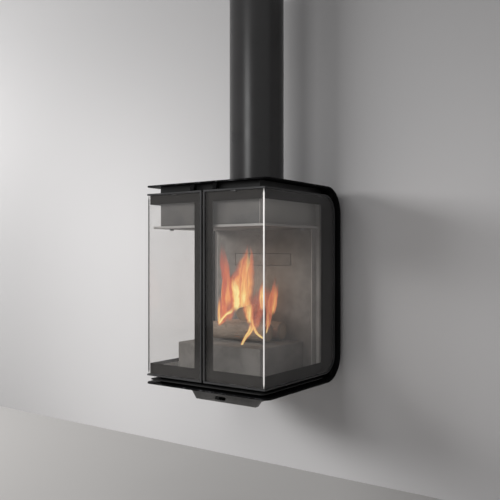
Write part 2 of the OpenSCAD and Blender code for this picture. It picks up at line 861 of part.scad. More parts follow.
// The enamel window on the side pane, with cut rear corners.
module side_window() {
    low = window_bottom;
    high = window_top;
    polygon([[glass_y - 1, low], [window_back - enamel_cut, low], [window_back, low + enamel_cut],
        [window_back, high - enamel_cut], [window_back - enamel_cut, high], [glass_y - 1, high]]);
}

module door_enamel() {
    along_y(glass_in_y, glass_in_y + enamel_t) difference() {
        translate([door_x + trim_w, trim_w - door_z])
            square([glass_in_x - door_x - trim_w, 2 * (door_z - trim_w)]);
        translate([enamel_centre, window_bottom]) square([glass_in_x, window_top - window_bottom]);
    }
    along_x(glass_in_x - enamel_t, glass_in_x) difference() {
        door_side_outline(trim_w, glass_in_y);
        side_window();
    }
}

module door_frame() {
    y0 = glass_in_y + enamel_t;
    x1 = glass_in_x - enamel_t;
    high = door_z - trim_w;
    along_y(y0, y0 + frame_t) difference() {
        translate([door_x, -high]) square([x1 - door_x, 2 * high]);
        translate([door_x + frame_w, frame_w - high]) square([x1, 2 * (high - frame_w)]);
    }
    along_x(x1 - frame_t, x1) difference() {
        translate([y0, -high]) square([stile_back - y0, 2 * high]);
        translate([y0 - 1, frame_w - high]) square([stile_back - frame_w - y0 + 1, 2 * (high - frame_w)]);
    }
}

module door_gasket() {
    z0 = seal_z - gasket_w / 2;
    z1 = seal_z + gasket_w / 2;
    post_x = post_w / 2 - gasket_w;
    jamb_mid = jamb_y + jamb_t / 2;
    top_and_foot() {
        block([post_x, frame_in_y, z0], [frame_in_x, seal_y, z1]);
        block([seal_x, frame_in_y, z0], [frame_in_x, jamb_mid + gasket_w / 2, z1]);
    }
    block([post_x, frame_in_y, -z0 - eps], [post_x + gasket_w, seal_y, z0 + eps]);
    block([seal_x, jamb_mid - gasket_w / 2, -z0 - eps], [frame_in_x, jamb_mid + gasket_w / 2, z0 + eps]);
}

module door_clips() {
    z0 = door_z - trim_w - clip_h;
    mid_x = (door_x + glass_x) / 2;
    top_and_foot() {
        block([mid_x - clip_w / 2, glass_y - clip_t, z0], [mid_x + clip_w / 2, glass_y, door_z - trim_w]);
        for (y = [glass_y + clip_front, door_back - clip_rear])
            block([glass_x, y - clip_w / 2, z0], [glass_x + clip_t, y + clip_w / 2, door_z - trim_w]);
    }
}

module door_pivots() {
    top_and_foot() difference() {
        translate([pivot_x, pivot_y, 0]) union() {
            translate([0, 0, door_z - door_r]) cylinder(h = pivot_top - door_z + door_r, r = pivot_block_r);
            translate([0, 0, pivot_top - eps]) cylinder(h = pivot_len, r = pivot_r);
        }
        along_x(pivot_x - 20, pivot_x + 20) door_side_outline(0, trim_y);
    }
}

module door_catch() {
    block([catch_x - catch_w / 2, glass_in_y - enamel_t - catch_t, door_z],
        [catch_x + catch_w / 2, glass_in_y - enamel_t, door_z + catch_h]);
}

module right_trim() { color("#4a4b4d") door_trim(); }
module right_front_glass() { color("#b9c4c4", 0.3) door_front_glass(); }
module right_side_glass() { color("#b9c4c4", 0.3) door_side_glass(); }
module right_enamel() { color("#3b3937") door_enamel(); }
module right_frame() { color("#2b2b2c") door_frame(); }
module right_gasket() { color("#77726a") door_gasket(); }
module right_clips() { color("#6d6d6d") door_clips(); }
module right_pivots() { color("#1a1b1d") door_pivots(); }
module right_catch() { color("#6d6d6d") door_catch(); }
module left_trim() { mirror([1, 0, 0]) right_trim(); }
module left_front_glass() { mirror([1, 0, 0]) right_front_glass(); }
module left_side_glass() { mirror([1, 0, 0]) right_side_glass(); }
module left_enamel() { mirror([1, 0, 0]) right_enamel(); }
module left_frame() { mirror([1, 0, 0]) right_frame(); }
module left_gasket() { mirror([1, 0, 0]) right_gasket(); }
module left_clips() { mirror([1, 0, 0]) right_clips(); }
module left_pivots() { mirror([1, 0, 0]) right_pivots(); }
module left_catch() { mirror([1, 0, 0]) right_catch(); }

casing_band();
wall_bracket();
hanging_bolts();
smoke_box();
top_seal_plate();
baffle_plate();
baffle_studs();
flue_spigot();
flue_liner();
flue_insulation();
flue_casing();
flue_end_ring();
back_casing();
back_lining();
lining_plate();
side_jambs();
centre_post();
floor_plate();
floor_frame();
sill_plate();
base_frame();
hearth_box();
grate();
ash_pan();
firewood();
air_front_sheet();
air_box();
port_plate();
air_inlet();
pivot_bearings();
catch_magnets();
right_trim();
right_front_glass();
right_side_glass();
right_enamel();
right_frame();
right_gasket();
right_clips();
right_pivots();
right_catch();
left_trim();
left_front_glass();
left_side_glass();
left_enamel();
left_frame();
left_gasket();
left_clips();
left_pivots();
left_catch();
air_shutter();
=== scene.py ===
import enum
import json
import logging
import math
from dataclasses import dataclass
from functools import lru_cache
from typing import Dict, List, Mapping, Optional, Sequence, Tuple, Union

import bmesh
import bpy
import numpy as np
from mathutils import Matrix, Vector

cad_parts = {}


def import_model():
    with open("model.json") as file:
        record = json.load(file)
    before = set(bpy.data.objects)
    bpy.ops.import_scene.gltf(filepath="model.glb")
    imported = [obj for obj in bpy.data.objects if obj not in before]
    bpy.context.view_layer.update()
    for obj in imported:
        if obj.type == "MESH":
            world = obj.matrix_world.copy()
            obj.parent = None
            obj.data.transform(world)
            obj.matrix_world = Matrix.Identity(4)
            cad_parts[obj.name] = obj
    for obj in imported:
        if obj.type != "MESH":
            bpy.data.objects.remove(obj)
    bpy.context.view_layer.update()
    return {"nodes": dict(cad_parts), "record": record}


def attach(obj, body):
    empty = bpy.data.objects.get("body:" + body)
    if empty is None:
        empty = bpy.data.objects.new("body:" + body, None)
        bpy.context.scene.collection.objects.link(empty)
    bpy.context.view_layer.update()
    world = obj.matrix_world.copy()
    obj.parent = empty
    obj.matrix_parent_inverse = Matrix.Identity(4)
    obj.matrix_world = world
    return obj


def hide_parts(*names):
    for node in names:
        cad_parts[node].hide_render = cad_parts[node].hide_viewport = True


LOG = logging.getLogger("wall_stove")
FULL_TURN = 2.0 * math.pi
# The upper end of a turn drawn at random, in radians
ANY_TURN = 6.3
# The distance in metres over which one finish gives way to another
SEAM = 0.001

Point = Tuple[float, float, float]
Plane = Tuple[float, float]
Colour = Tuple[float, float, float]
Key = Union[str, int]


class Side(enum.Enum):
    """Which door a piece belongs to, with the sign of its X."""

    RIGHT = 1
    LEFT = -1


class Grain(enum.Enum):
    """How far brush lines are squeezed along each axis, for the direction of the brush."""

    ACROSS = (16.0, 1040.0, 1040.0)
    UPRIGHT = (1040.0, 1040.0, 16.0)


# Node trees


class Expr:
    """A value in a node tree, on which arithmetic adds Math nodes."""

    def __init__(self, sheet: "NodeSheet", socket: bpy.types.NodeSocket) -> None:
        """Wraps one socket of a sheet's node tree."""
        self.sheet = sheet
        self.socket = socket

    def _math(self, operation: str, *values: "Value") -> "Expr":
        """The result of a Math node."""
        return self.sheet.make("Math", dict(enumerate(values)), operation=operation)

    def __add__(self, other: "Value") -> "Expr":
        """self + other."""
        return self._math("ADD", self, other)

    def __radd__(self, other: "Value") -> "Expr":
        """other + self."""
        return self._math("ADD", other, self)

    def __sub__(self, other: "Value") -> "Expr":
        """self - other."""
        return self._math("SUBTRACT", self, other)

    def __rsub__(self, other: "Value") -> "Expr":
        """other - self."""
        return self._math("SUBTRACT", other, self)

    def __mul__(self, other: "Value") -> "Expr":
        """self * other."""
        return self._math("MULTIPLY", self, other)

    def __rmul__(self, other: "Value") -> "Expr":
        """other * self."""
        return self._math("MULTIPLY", other, self)

    def __pow__(self, other: "Value") -> "Expr":
        """self to the power other."""
        return self._math("POWER", self, other)

    def size(self) -> "Expr":
        """The value without its sign."""
        return self._math("ABSOLUTE", self)

    def sine(self) -> "Expr":
        """The sine of the value."""
        return self._math("SINE", self)

    def highest(self, other: "Value") -> "Expr":
        """The larger of two values."""
        return self._math("MAXIMUM", self, other)

    def lowest(self, other: "Value") -> "Expr":
        """The smaller of two values."""
        return self._math("MINIMUM", self, other)

    def ramp(self, low: float, high: float) -> "Expr":
        """A smooth rise from 0 at low to 1 at high; low may lie above high."""
        inputs = {"Value": self, "From Min": low, "From Max": high, "To Min": 0.0, "To Max": 1.0}
        return self.sheet.make("MapRange", inputs, interpolation_type="SMOOTHSTEP")

    def axis(self, name: str) -> "Expr":
        """One of a vector's three numbers."""
        return self.sheet.make("SeparateXYZ", {0: self}, name)


Value = Union[Expr, float, int, Tuple[float, ...]]


class NodeSheet:
    """The node tree of a material or of the world, filled through one node-making method."""

    def __init__(self, owner: Union[bpy.types.Material, bpy.types.World]) -> None:
        """Empties the tree.

        Args:
            owner: The material or world whose tree it is.
        """
        owner.use_nodes = True
        self.tree = owner.node_tree
        self.tree.nodes.clear()

    def make(self, kind: str, inputs: Mapping[Key, Value], output: Key = 0, **settings: object) -> Expr:
        """Adds a node, sets it up, and fills its sockets.

        Args:
            kind: The node's type, less the ShaderNode with which each type begins.
            inputs: A value or a link for each socket, by place, identifier or name.
            output: The socket that the result stands for.
            **settings: The node's own settings, set first; stops fills a colour ramp.

        Returns:
            The wanted output, or an input where the node has no output.
        """
        node = self.tree.nodes.new(f"ShaderNode{kind}")
        for key, value in settings.items():
            if key == "stops":
                elements = node.color_ramp.elements
                while len(elements) < len(value):
                    elements.new(0.5)
                for element, (place, colour) in zip(elements, value):
                    element.position = place
                    element.color = (*colour, 1.0)
            else:
                setattr(node, key, value)
        for key, value in inputs.items():
            socket = self._socket(node.inputs, key)
            if isinstance(value, Expr):
                self.tree.links.new(value.socket, socket)
            elif socket.type == "RGBA":
                socket.default_value = (*value, 1.0)
            else:
                socket.default_value = value
        return Expr(self, self._socket(node.outputs or node.inputs, output))

    @staticmethod
    def _socket(sockets: bpy.types.bpy_prop_collection, key: Key) -> bpy.types.NodeSocket:
        """The socket with the given identifier, or else with that name or at that place."""
        return next((socket for socket in sockets if socket.identifier == key), None) or sockets[key]

    def coords(self, kind: str = "Object") -> Expr:
        """The piece's own coordinates, in metres, or its UV map."""
        return self.make("TexCoord", {}, kind)

    def placed(self, scale: Point, kind: str = "Object", at: Point = (0.0, 0.0, 0.0)) -> Expr:
        """Coordinates that are scaled along each axis and then moved by at."""
        return self.make("Mapping", {"Vector": self.coords(kind), "Scale": scale, "Location": at})

    def noise(self, place: Expr, scale: float, detail: float = 3.0, roughness: float = 0.55) -> Expr:
        """Soft noise from about 0.3 to 0.7, centred on 0.5."""
        inputs = {"Vector": place, "Scale": scale, "Detail": detail, "Roughness": roughness}
        return self.make("TexNoise", inputs)

    def streaks(
        self, scale: Point, detail: float = 3.0, roughness: float = 0.55, kind: str = "Object"
    ) -> Expr:
        """Noise that is drawn out along the axes on which scale is small."""
        return self.noise(self.placed(scale, kind), 1.0, detail, roughness)

    def cells(self, place: Expr, scale: float, feature: str = "F1", randomness: float = 1.0) -> Expr:
        """Distance to the points or edges of a cell pattern."""
        inputs = {"Vector": place, "Scale": scale, "Randomness": randomness}
        return self.make("TexVoronoi", inputs, "Distance", feature=feature)

    def mix(self, factor: Value, a: Value, b: Value) -> Expr:
        """A colour between a and b."""
        inputs = {"Factor_Float": factor, "A_Color": a, "B_Color": b}
        return self.make("Mix", inputs, "Result_Color", data_type="RGBA")

    def blend(self, factor: Value, a: Expr, b: Expr) -> Expr:
        """A shader between a and b."""
        return self.make("MixShader", {0: factor, 1: a, 2: b})

    def relief(self, height: Expr, depth: float) -> Expr:
        """The normal of a relief whose height goes from 0 to 1 over a depth in metres."""
        return self.make("Bump", {"Height": height, "Distance": depth, "Strength": 1.0})

    def principled(self, colour: Value, roughness: Value, specular: float = 0.5, **others: Value) -> Expr:
        """A Principled shader.

        Args:
            colour: Its base colour.
            roughness: Its roughness.
            specular: Its specular level.
            **others: Its other sockets, with an underscore for each space in their names.

        Returns:
            The shader.
        """
        inputs = {key.replace("_", " "): value for key, value in others.items()}
        inputs.update({"Base Color": colour, "Roughness": roughness, "Specular IOR Level": specular})
        return self.make("BsdfPrincipled", inputs)


# Finishes


def shade(colour: Colour, share: float) -> Colour:
    """The colour times share."""
    return tuple(channel * share for channel in colour)


@dataclass(frozen=True)
class Finish:
    """A finish with a name, from which its material is built."""

    name: str

    @lru_cache(maxsize=None)
    def material(self) -> bpy.types.Material:
        """Builds the material, once for equal finishes.

        Returns:
            The material.
        """
        material = bpy.data.materials.new(self.name)
        sheet = NodeSheet(material)
        sheet.make("OutputMaterial", {"Surface": self.shader(sheet)})
        return material

    def shader(self, sheet: NodeSheet) -> Expr:
        """The finish's shader, made in the given node tree."""
        raise NotImplementedError


@dataclass(frozen=True)
class StovePaint(Finish):
    """Matt heat-proof paint, sprayed, with a fine peel, and a painted highlight in patches along the front
    edge.
    """

    colour: Colour
    mottle: float = 0.35
    roughness: float = 0.58
    specular: float = 0.25
    peel: float = 0.00006
    highlight_front_edge: Optional[float] = None
    edge_highlight: Colour = (0.10, 0.10, 0.105)

    def shader(self, sheet: NodeSheet) -> Expr:
        """Colour varies by a broad cloud and a fine speckle; the peel is a bump.

        Args:
            sheet: The node tree.

        Returns:
            The shader.
        """
        place = sheet.coords()
        cloud = sheet.noise(place, 7.0, 4.0)
        speckle = sheet.noise(place, 950.0, 2.0, 0.7)
        tone = (cloud * 0.65 + speckle * 0.35).ramp(0.36, 0.64)
        dark, light = (shade(self.colour, share) for share in (1.0 - self.mottle, 1.0 + self.mottle))
        colour = sheet.mix(tone, dark, light)
        # Painted highlight: a lighter colour in patches along the front edge, where the edge would catch
        # the light.
        if self.highlight_front_edge is not None:
            near = place.axis("Y").ramp(self.highlight_front_edge + 0.0022, self.highlight_front_edge + 0.0002)
            highlight_patches = near * sheet.noise(place, 46.0, 5.0, 0.7).ramp(0.50, 0.66)
            colour = sheet.mix(highlight_patches * 0.8, colour, self.edge_highlight)
        roughness = self.roughness + (cloud - 0.5) * 0.22 + (speckle - 0.5) * 0.14
        peel = sheet.noise(place, 620.0, 2.0, 0.6) * 0.7 + speckle * 0.3
        return sheet.principled(colour, roughness, self.specular, Normal=sheet.relief(peel, self.peel))


@dataclass(frozen=True)
class HotSteel(Finish):
    """Steel plate tinted and sooted by heat, with black painted shade at the top, a painted highlight along
    the front edge and painted light on both flanks.
    """

    colour: Colour
    tint: Colour
    soot: Colour = (0.035, 0.031, 0.028)
    sooty: float = 0.55
    metallic: float = 0.35
    # The height above which the steel turns black as painted shade, and the colour of that shade.
    shade_painted_above: Optional[float] = None
    paint: Colour = (0.006, 0.006, 0.006)
    # Where the painted highlight and the painted light lie, and their pale colour.
    painted_highlight_front: Optional[float] = None
    painted_light_flank: Optional[float] = None
    painted_light: Colour = (0.52, 0.50, 0.48)

    def shader(self, sheet: NodeSheet) -> Expr:
        """Clouds of tint and soot, a rolled grain and shallow scale.

        Args:
            sheet: The node tree.

        Returns:
            The shader.
        """
        place = sheet.coords()
        heat = sheet.noise(place, 9.0, 5.0, 0.6)
        scale = sheet.noise(place, 85.0, 5.0, 0.65)
        rolled = sheet.streaks((8.0, 120.0, 120.0))
        drift = sheet.noise(place, 5.0, 6.0, 0.7).ramp(0.46, 0.70)
        colour = sheet.mix(heat.ramp(0.40, 0.64), self.colour, self.tint)
        colour = sheet.mix(drift * self.sooty, colour, self.soot)
        colour = sheet.mix(scale.ramp(0.60, 0.75) * 0.4, colour, shade(self.colour, 1.5))
        metallic: Value = self.metallic
        # Painted highlight: the front edge turns pale, for the light line along the lip.
        if self.painted_highlight_front is not None:
            front = place.axis("Y").ramp(self.painted_highlight_front + 0.003, self.painted_highlight_front + 0.0008)
            colour = sheet.mix(front * 0.85, colour, self.painted_light)
        # Painted light: both flanks turn pale, for light on the sides seen through the side panes.
        if self.painted_light_flank is not None:
            flank = place.axis("X").size().ramp(self.painted_light_flank - 0.003, self.painted_light_flank - SEAM)
            colour = sheet.mix(flank * 0.7, colour, self.painted_light)
        # Painted shade: above the given height the steel is black, for the shade in the recess under the
        # top plate.
        if self.shade_painted_above is not None:
            below_painted_shade = place.axis("Z").ramp(self.shade_painted_above + SEAM, self.shade_painted_above)
            colour = sheet.mix(below_painted_shade, self.paint, colour)
            metallic = below_painted_shade * self.metallic
        roughness = 0.52 + (heat - 0.5) * 0.4 + (scale - 0.5) * 0.2
        relief = sheet.relief(scale * 0.6 + rolled * 0.4, 0.00025)
        return sheet.principled(colour, roughness, Metallic=metallic, Normal=relief)


@dataclass(frozen=True)
class BrushedSteel(Finish):
    """Bare steel with fine brush lines along one direction."""

    stain: float
    colour: Colour = (0.42, 0.42, 0.43)
    stained: Colour = (0.16, 0.13, 0.105)
    grain: Grain = Grain.ACROSS

    def shader(self, sheet: NodeSheet) -> Expr:
        """Long thin noise for the brush lines, faint stains from handling.

        Args:
            sheet: The node tree.

        Returns:
            The shader.
        """
        lines = sheet.streaks(self.grain.value, 3.0, 0.6)
        cloud = sheet.noise(sheet.coords(), 22.0, 4.0)
        colour = sheet.mix(lines.ramp(0.3, 0.7), shade(self.colour, 0.82), self.colour)
        colour = sheet.mix(cloud.ramp(0.5, 0.72) * self.stain, colour, self.stained)
        roughness = 0.34 + (lines - 0.5) * 0.25 + cloud.ramp(0.45, 0.7) * 0.15
        return sheet.principled(colour, roughness, Metallic=0.9, Normal=sheet.relief(lines, 0.00005))


@dataclass(frozen=True)
class ZincPlate(Finish):
    """Zinc-plated fixings with a soft spangle."""

    colour: Colour = (0.40, 0.41, 0.42)

    def shader(self, sheet: NodeSheet) -> Expr:
        """A cell pattern for the spangle over fine scratches.

        Args:
            sheet: The node tree.

        Returns:
            The shader.
        """
        spangle = sheet.cells(sheet.coords(), 420.0)
        scratch = sheet.relief(sheet.streaks((900.0, 90.0, 900.0), 2.0), 0.00004)
        colour = sheet.mix(spangle.ramp(0.1, 0.7), self.colour, shade(self.colour, 0.68))
        return sheet.principled(colour, 0.38 + spangle * 0.18, Metallic=0.85, Normal=scratch)


@dataclass(frozen=True)
class CastIron(Finish):
    """Sand-cast iron, dark and rough, with a breath of rust and ash."""

    colour: Colour = (0.17, 0.16, 0.148)
    rust: Colour = (0.085, 0.055, 0.036)
    ash: Colour = (0.30, 0.28, 0.25)

    def shader(self, sheet: NodeSheet) -> Expr:
        """Sand grain as bump, rust in clouds, ash on the grain's high spots.

        Args:
            sheet: The node tree.

        Returns:
            The shader.
        """
        place = sheet.coords()
        sand = sheet.noise(place, 520.0, 4.0, 0.7)
        cloud = sheet.noise(place, 30.0, 4.0)
        colour = sheet.mix(cloud.ramp(0.48, 0.7), self.colour, self.rust)
        colour = sheet.mix(sand.ramp(0.55, 0.7) * 0.6, colour, self.ash)
        return sheet.principled(colour, 0.72 + (sand - 0.5) * 0.3, Normal=sheet.relief(sand, 0.0004))


@dataclass(frozen=True)
class FireClay(Finish):
    """Moulded fire-clay: pale grey-beige, pitted, smoked over the fire."""

    colour: Colour = (0.235, 0.218, 0.20)
    dark: Colour = (0.18, 0.166, 0.152)
    soot: Colour = (0.07, 0.06, 0.052)
    hearth_z: float = -0.13

    def shader(self, sheet: NodeSheet) -> Expr:
        """Grain and pits as bump; soot gathers in drifts at the fire's height.

        Args:
            sheet: The node tree.

        Returns:
            The shader.
        """
        place = sheet.coords()
        body = sheet.noise(place, 26.0, 6.0, 0.65)
        grain = sheet.noise(place, 420.0, 3.0, 0.7)
        pits = sheet.cells(place, 210.0).ramp(0.16, 0.05) * sheet.noise(place, 60.0, 2.0).ramp(0.48, 0.6)
        high = place.axis("Z")
        plume = place.axis("X").size().ramp(0.19, 0.02)
        plume = plume * high.ramp(self.hearth_z - 0.06, self.hearth_z + 0.05) * high.ramp(0.26, -0.02)
        smoke = sheet.streaks((9.0, 9.0, 3.5), 6.0, 0.7).ramp(0.3, 0.7)
        colour = sheet.mix(body.ramp(0.36, 0.64), self.dark, self.colour)
        colour = sheet.mix(plume * smoke * 0.75, colour, self.soot)
        colour = sheet.mix(pits * 0.7, colour, self.soot)
        relief = sheet.relief(body * 0.35 + grain * 0.35 - pits * 0.6, 0.0006)
        return sheet.principled(colour, 0.88, 0.2, Normal=relief)


@dataclass(frozen=True)
class MineralWool(Finish):
    """Felted mineral wool."""

    colour: Colour = (0.58, 0.54, 0.44)

    def shader(self, sheet: NodeSheet) -> Expr:
        """Two crossed sets of drawn-out noise make the fibres.

        Args:
            sheet: The node tree.

        Returns:
            The shader.
        """
        fibre = sheet.streaks((700.0, 90.0, 400.0), 4.0) * 0.5
        fibre = fibre + sheet.streaks((90.0, 700.0, 400.0), 4.0) * 0.5
        colour = sheet.mix(fibre.ramp(0.35, 0.65), shade(self.colour, 0.6), self.colour)
        return sheet.principled(colour, 0.95, 0.1, Normal=sheet.relief(fibre, 0.0008))


@dataclass(frozen=True)
class GlassRope(Finish):
    """Knitted glass-fibre rope; its map runs along the rope and round it, in metres."""

    colour: Colour = (0.26, 0.245, 0.22)
    dirt: Colour = (0.09, 0.08, 0.07)
    pitch: float = 0.0035

    def shader(self, sheet: NodeSheet) -> Expr:
        """Two crossing diagonal waves make the knit; fibres are finer noise.

        Args:
            sheet: The node tree.

        Returns:
            The shader.
        """
        place = sheet.coords("UV")
        along, round_it = (place.axis(name) * (FULL_TURN / self.pitch) for name in "XY")
        knit = (along + round_it).sine() * (along - round_it).sine() * 0.5 + 0.5
        fibre = sheet.streaks((1400.0, 1400.0, 1.0), kind="UV")
        colour = sheet.mix(knit.ramp(0.15, 0.75), shade(self.colour, 0.42), self.colour)
        colour = sheet.mix(fibre.ramp(0.55, 0.7) * 0.35, colour, self.dirt)
        return sheet.principled(colour, 0.9, 0.2, Normal=sheet.relief(knit * 0.8 + fibre * 0.2, 0.0005))


@dataclass(frozen=True)
class Bark(Finish):
    """Charred bark; its map runs along the log and round it, in metres."""

    colour: Colour = (0.46, 0.365, 0.285)
    furrow: Colour = (0.23, 0.18, 0.14)
    char: Colour = (0.32, 0.26, 0.21)
    ash: Colour = (0.50, 0.455, 0.41)
    ember: Colour = (1.0, 0.20, 0.03)

    def shader(self, sheet: NodeSheet) -> Expr:
        """Long furrows, char and ash in patches, embers in the cracks of the char.

        Args:
            sheet: The node tree.

        Returns:
            The shader.
        """
        plates = sheet.cells(sheet.placed((22.0, 120.0, 1.0), "UV"), 1.0, "DISTANCE_TO_EDGE")
        fine = sheet.streaks((90.0, 520.0, 1.0), 4.0, 0.65, "UV")
        place = sheet.coords()
        patch = sheet.noise(place, 24.0, 4.0, 0.6)
        burnt = patch.ramp(0.38, 0.56)
        flakes = sheet.noise(place, 70.0, 5.0, 0.7).ramp(0.58, 0.72)
        colour = sheet.mix(fine.ramp(0.3, 0.7), shade(self.colour, 0.55), self.colour)
        colour = sheet.mix(plates.ramp(0.16, 0.02), colour, self.furrow)
        colour = sheet.mix(burnt * 0.85, colour, self.char)
        colour = sheet.mix(flakes * burnt * 0.5, colour, self.ash)
        glow = sheet.mix(patch.ramp(0.60, 0.70) * plates.ramp(0.08, 0.0), (0.0, 0.0, 0.0), self.ember)
        relief = sheet.relief(plates.ramp(0.0, 0.35) * 0.7 + fine * 0.3, 0.0016)
        return sheet.principled(colour, 0.9, 0.2, Emission_Color=glow, Emission_Strength=0.3, Normal=relief)


@dataclass(frozen=True)
class EndGrain(Finish):
    """A log's sawn end; its map is centred on the log, in metres."""

    colour: Colour = (0.44, 0.335, 0.235)
    ring: Colour = (0.36, 0.27, 0.19)
    char: Colour = (0.31, 0.24, 0.175)
    ring_width: float = 0.0032

    def shader(self, sheet: NodeSheet) -> Expr:
        """Growth rings from the distance to the centre, saw marks and a charred rim.

        Args:
            sheet: The node tree.

        Returns:
            The shader.
        """
        x, y = (sheet.coords("UV").axis(name) for name in "XY")
        wobble = sheet.streaks((60.0, 60.0, 1.0), kind="UV") - 0.5
        out = (x * x + y * y) ** 0.5
        rings = ((out + wobble * 0.006) * (FULL_TURN / self.ring_width)).sine() * 0.5 + 0.5
        saw = sheet.streaks((40.0, 900.0, 1.0), 2.0, kind="UV")
        colour = sheet.mix(rings, self.ring, self.colour)
        colour = sheet.mix((out + wobble * 0.03).ramp(0.014, 0.027), colour, self.char)
        return sheet.principled(colour, 0.85, 0.2, Normal=sheet.relief(rings * 0.5 + saw * 0.5, 0.0005))


@dataclass(frozen=True)
class CeramicGlass(Finish):
    """Clear ceramic glass with a pale haze, thicker inside the window, partly a real haze and partly
    painted sheen, and a rear print line.
    """

    tint: Colour = (0.995, 0.994, 0.992)
    haze_and_sheen: Colour = (0.90, 0.885, 0.87)
    gloss: float = 0.024
    window_share: float = 0.030
    border_share: float = 0.007
    print_width: float = 0.0077
    print_colour: Colour = (0.03, 0.028, 0.026)
    window_x: float = 0.040
    window_rear: float = -0.121
    window_low: float = -0.277
    window_high: float = 0.283

    def shader(self, sheet: NodeSheet) -> Expr:
        """Clear and mirror shaders mixed by the fifth power of the slant, then the pale haze of partly
        painted sheen, and the print.

        Args:
            sheet: The node tree.

        Returns:
            The shader.
        """
        clear = sheet.make("BsdfTransparent", {"Color": self.tint})
        mirror = sheet.principled((0.98, 0.98, 0.98), 0.015, Metallic=1.0)
        slant = sheet.make("LayerWeight", {"Blend": 0.5}, "Facing")
        pane = sheet.blend(slant**5 * 0.96 + self.gloss, clear, mirror)
        place = sheet.coords()
        high, deep = place.axis("Z"), place.axis("Y")
        inside = place.axis("X").size().ramp(self.window_x, self.window_x + SEAM)
        inside = inside * deep.ramp(self.window_rear, self.window_rear - SEAM)
        inside = inside * high.ramp(self.window_low, self.window_low + SEAM)
        inside = inside * high.ramp(self.window_high, self.window_high - SEAM)
        # The pale haze: partly a real haze on the glass, partly painted sheen that brightens the panes.
        haze_and_sheen_patches = sheet.streaks((5.0, 5.0, 2.2), 4.0).ramp(0.25, 0.75) * 0.5 + 0.75
        share = haze_and_sheen_patches * (inside * (self.window_share - self.border_share) + self.border_share)
        hazy_and_sheen = sheet.blend(share, pane, sheet.principled(self.haze_and_sheen, 0.8, 0.0))
        start = self.window_rear - self.print_width
        line = deep.ramp(start, start + 0.0002) * deep.ramp(self.window_rear + 0.0005, self.window_rear)
        return sheet.blend(line, hazy_and_sheen, sheet.principled(self.print_colour, 0.4))


@dataclass(frozen=True)
class PolishedEdge(Finish):
    """The ground edge of a glass pane: bright, with a painted glow for its highlight, and darker to the
    foot as painted shade.
    """

    colour: Colour = (0.95, 0.93, 0.90)
    foot: Colour = (0.74, 0.72, 0.70)
    ground: Colour = (0.35, 0.34, 0.33)
    half: float = 0.315
    glow: float = 0.32

    def shader(self, sheet: NodeSheet) -> Expr:
        """Bright with a painted glow, a little darker to the foot as painted shade, with fine grinding
        lines.

        Args:
            sheet: The node tree.

        Returns:
            The shader.
        """
        grind = sheet.streaks((900.0, 900.0, 60.0), 2.0)
        # Painted shade: darker from the top down to the foot.
        colour = sheet.mix(sheet.coords().axis("Z").ramp(-self.half, self.half), self.foot, self.colour)
        colour = sheet.mix(grind.ramp(0.5, 0.7) * 0.18, colour, self.ground)
        # Painted highlight: the edge glows in its own colour, though it is no lamp.
        glow = {"Emission_Color": colour, "Emission_Strength": self.glow}
        return sheet.principled(colour, 0.22 + grind * 0.2, Normal=sheet.relief(grind, 0.00004), **glow)


@dataclass(frozen=True)
class EnamelPrint(Finish):
    """Fired ceramic print on the inside of the glass: deep warm grey, in fine dots."""

    colour: Colour = (0.037, 0.0345, 0.0325)

    def shader(self, sheet: NodeSheet) -> Expr:
        """Dots of the screen print and a cloud; it has next to no gloss, because glass covers it.

        Args:
            sheet: The node tree.

        Returns:
            The shader.
        """
        place = sheet.coords()
        dots = sheet.cells(place, 1500.0, randomness=0.2)
        cloud = sheet.noise(place, 11.0, 4.0)
        colour = sheet.mix(dots.ramp(0.2, 0.6) * 0.12, self.colour, shade(self.colour, 1.9))
        colour = sheet.mix(cloud.ramp(0.45, 0.7) * 0.3, colour, shade(self.colour, 1.6))
        return sheet.principled(colour, 0.6 + (cloud - 0.5) * 0.2, 0.05, Normal=sheet.relief(dots, 0.00001))


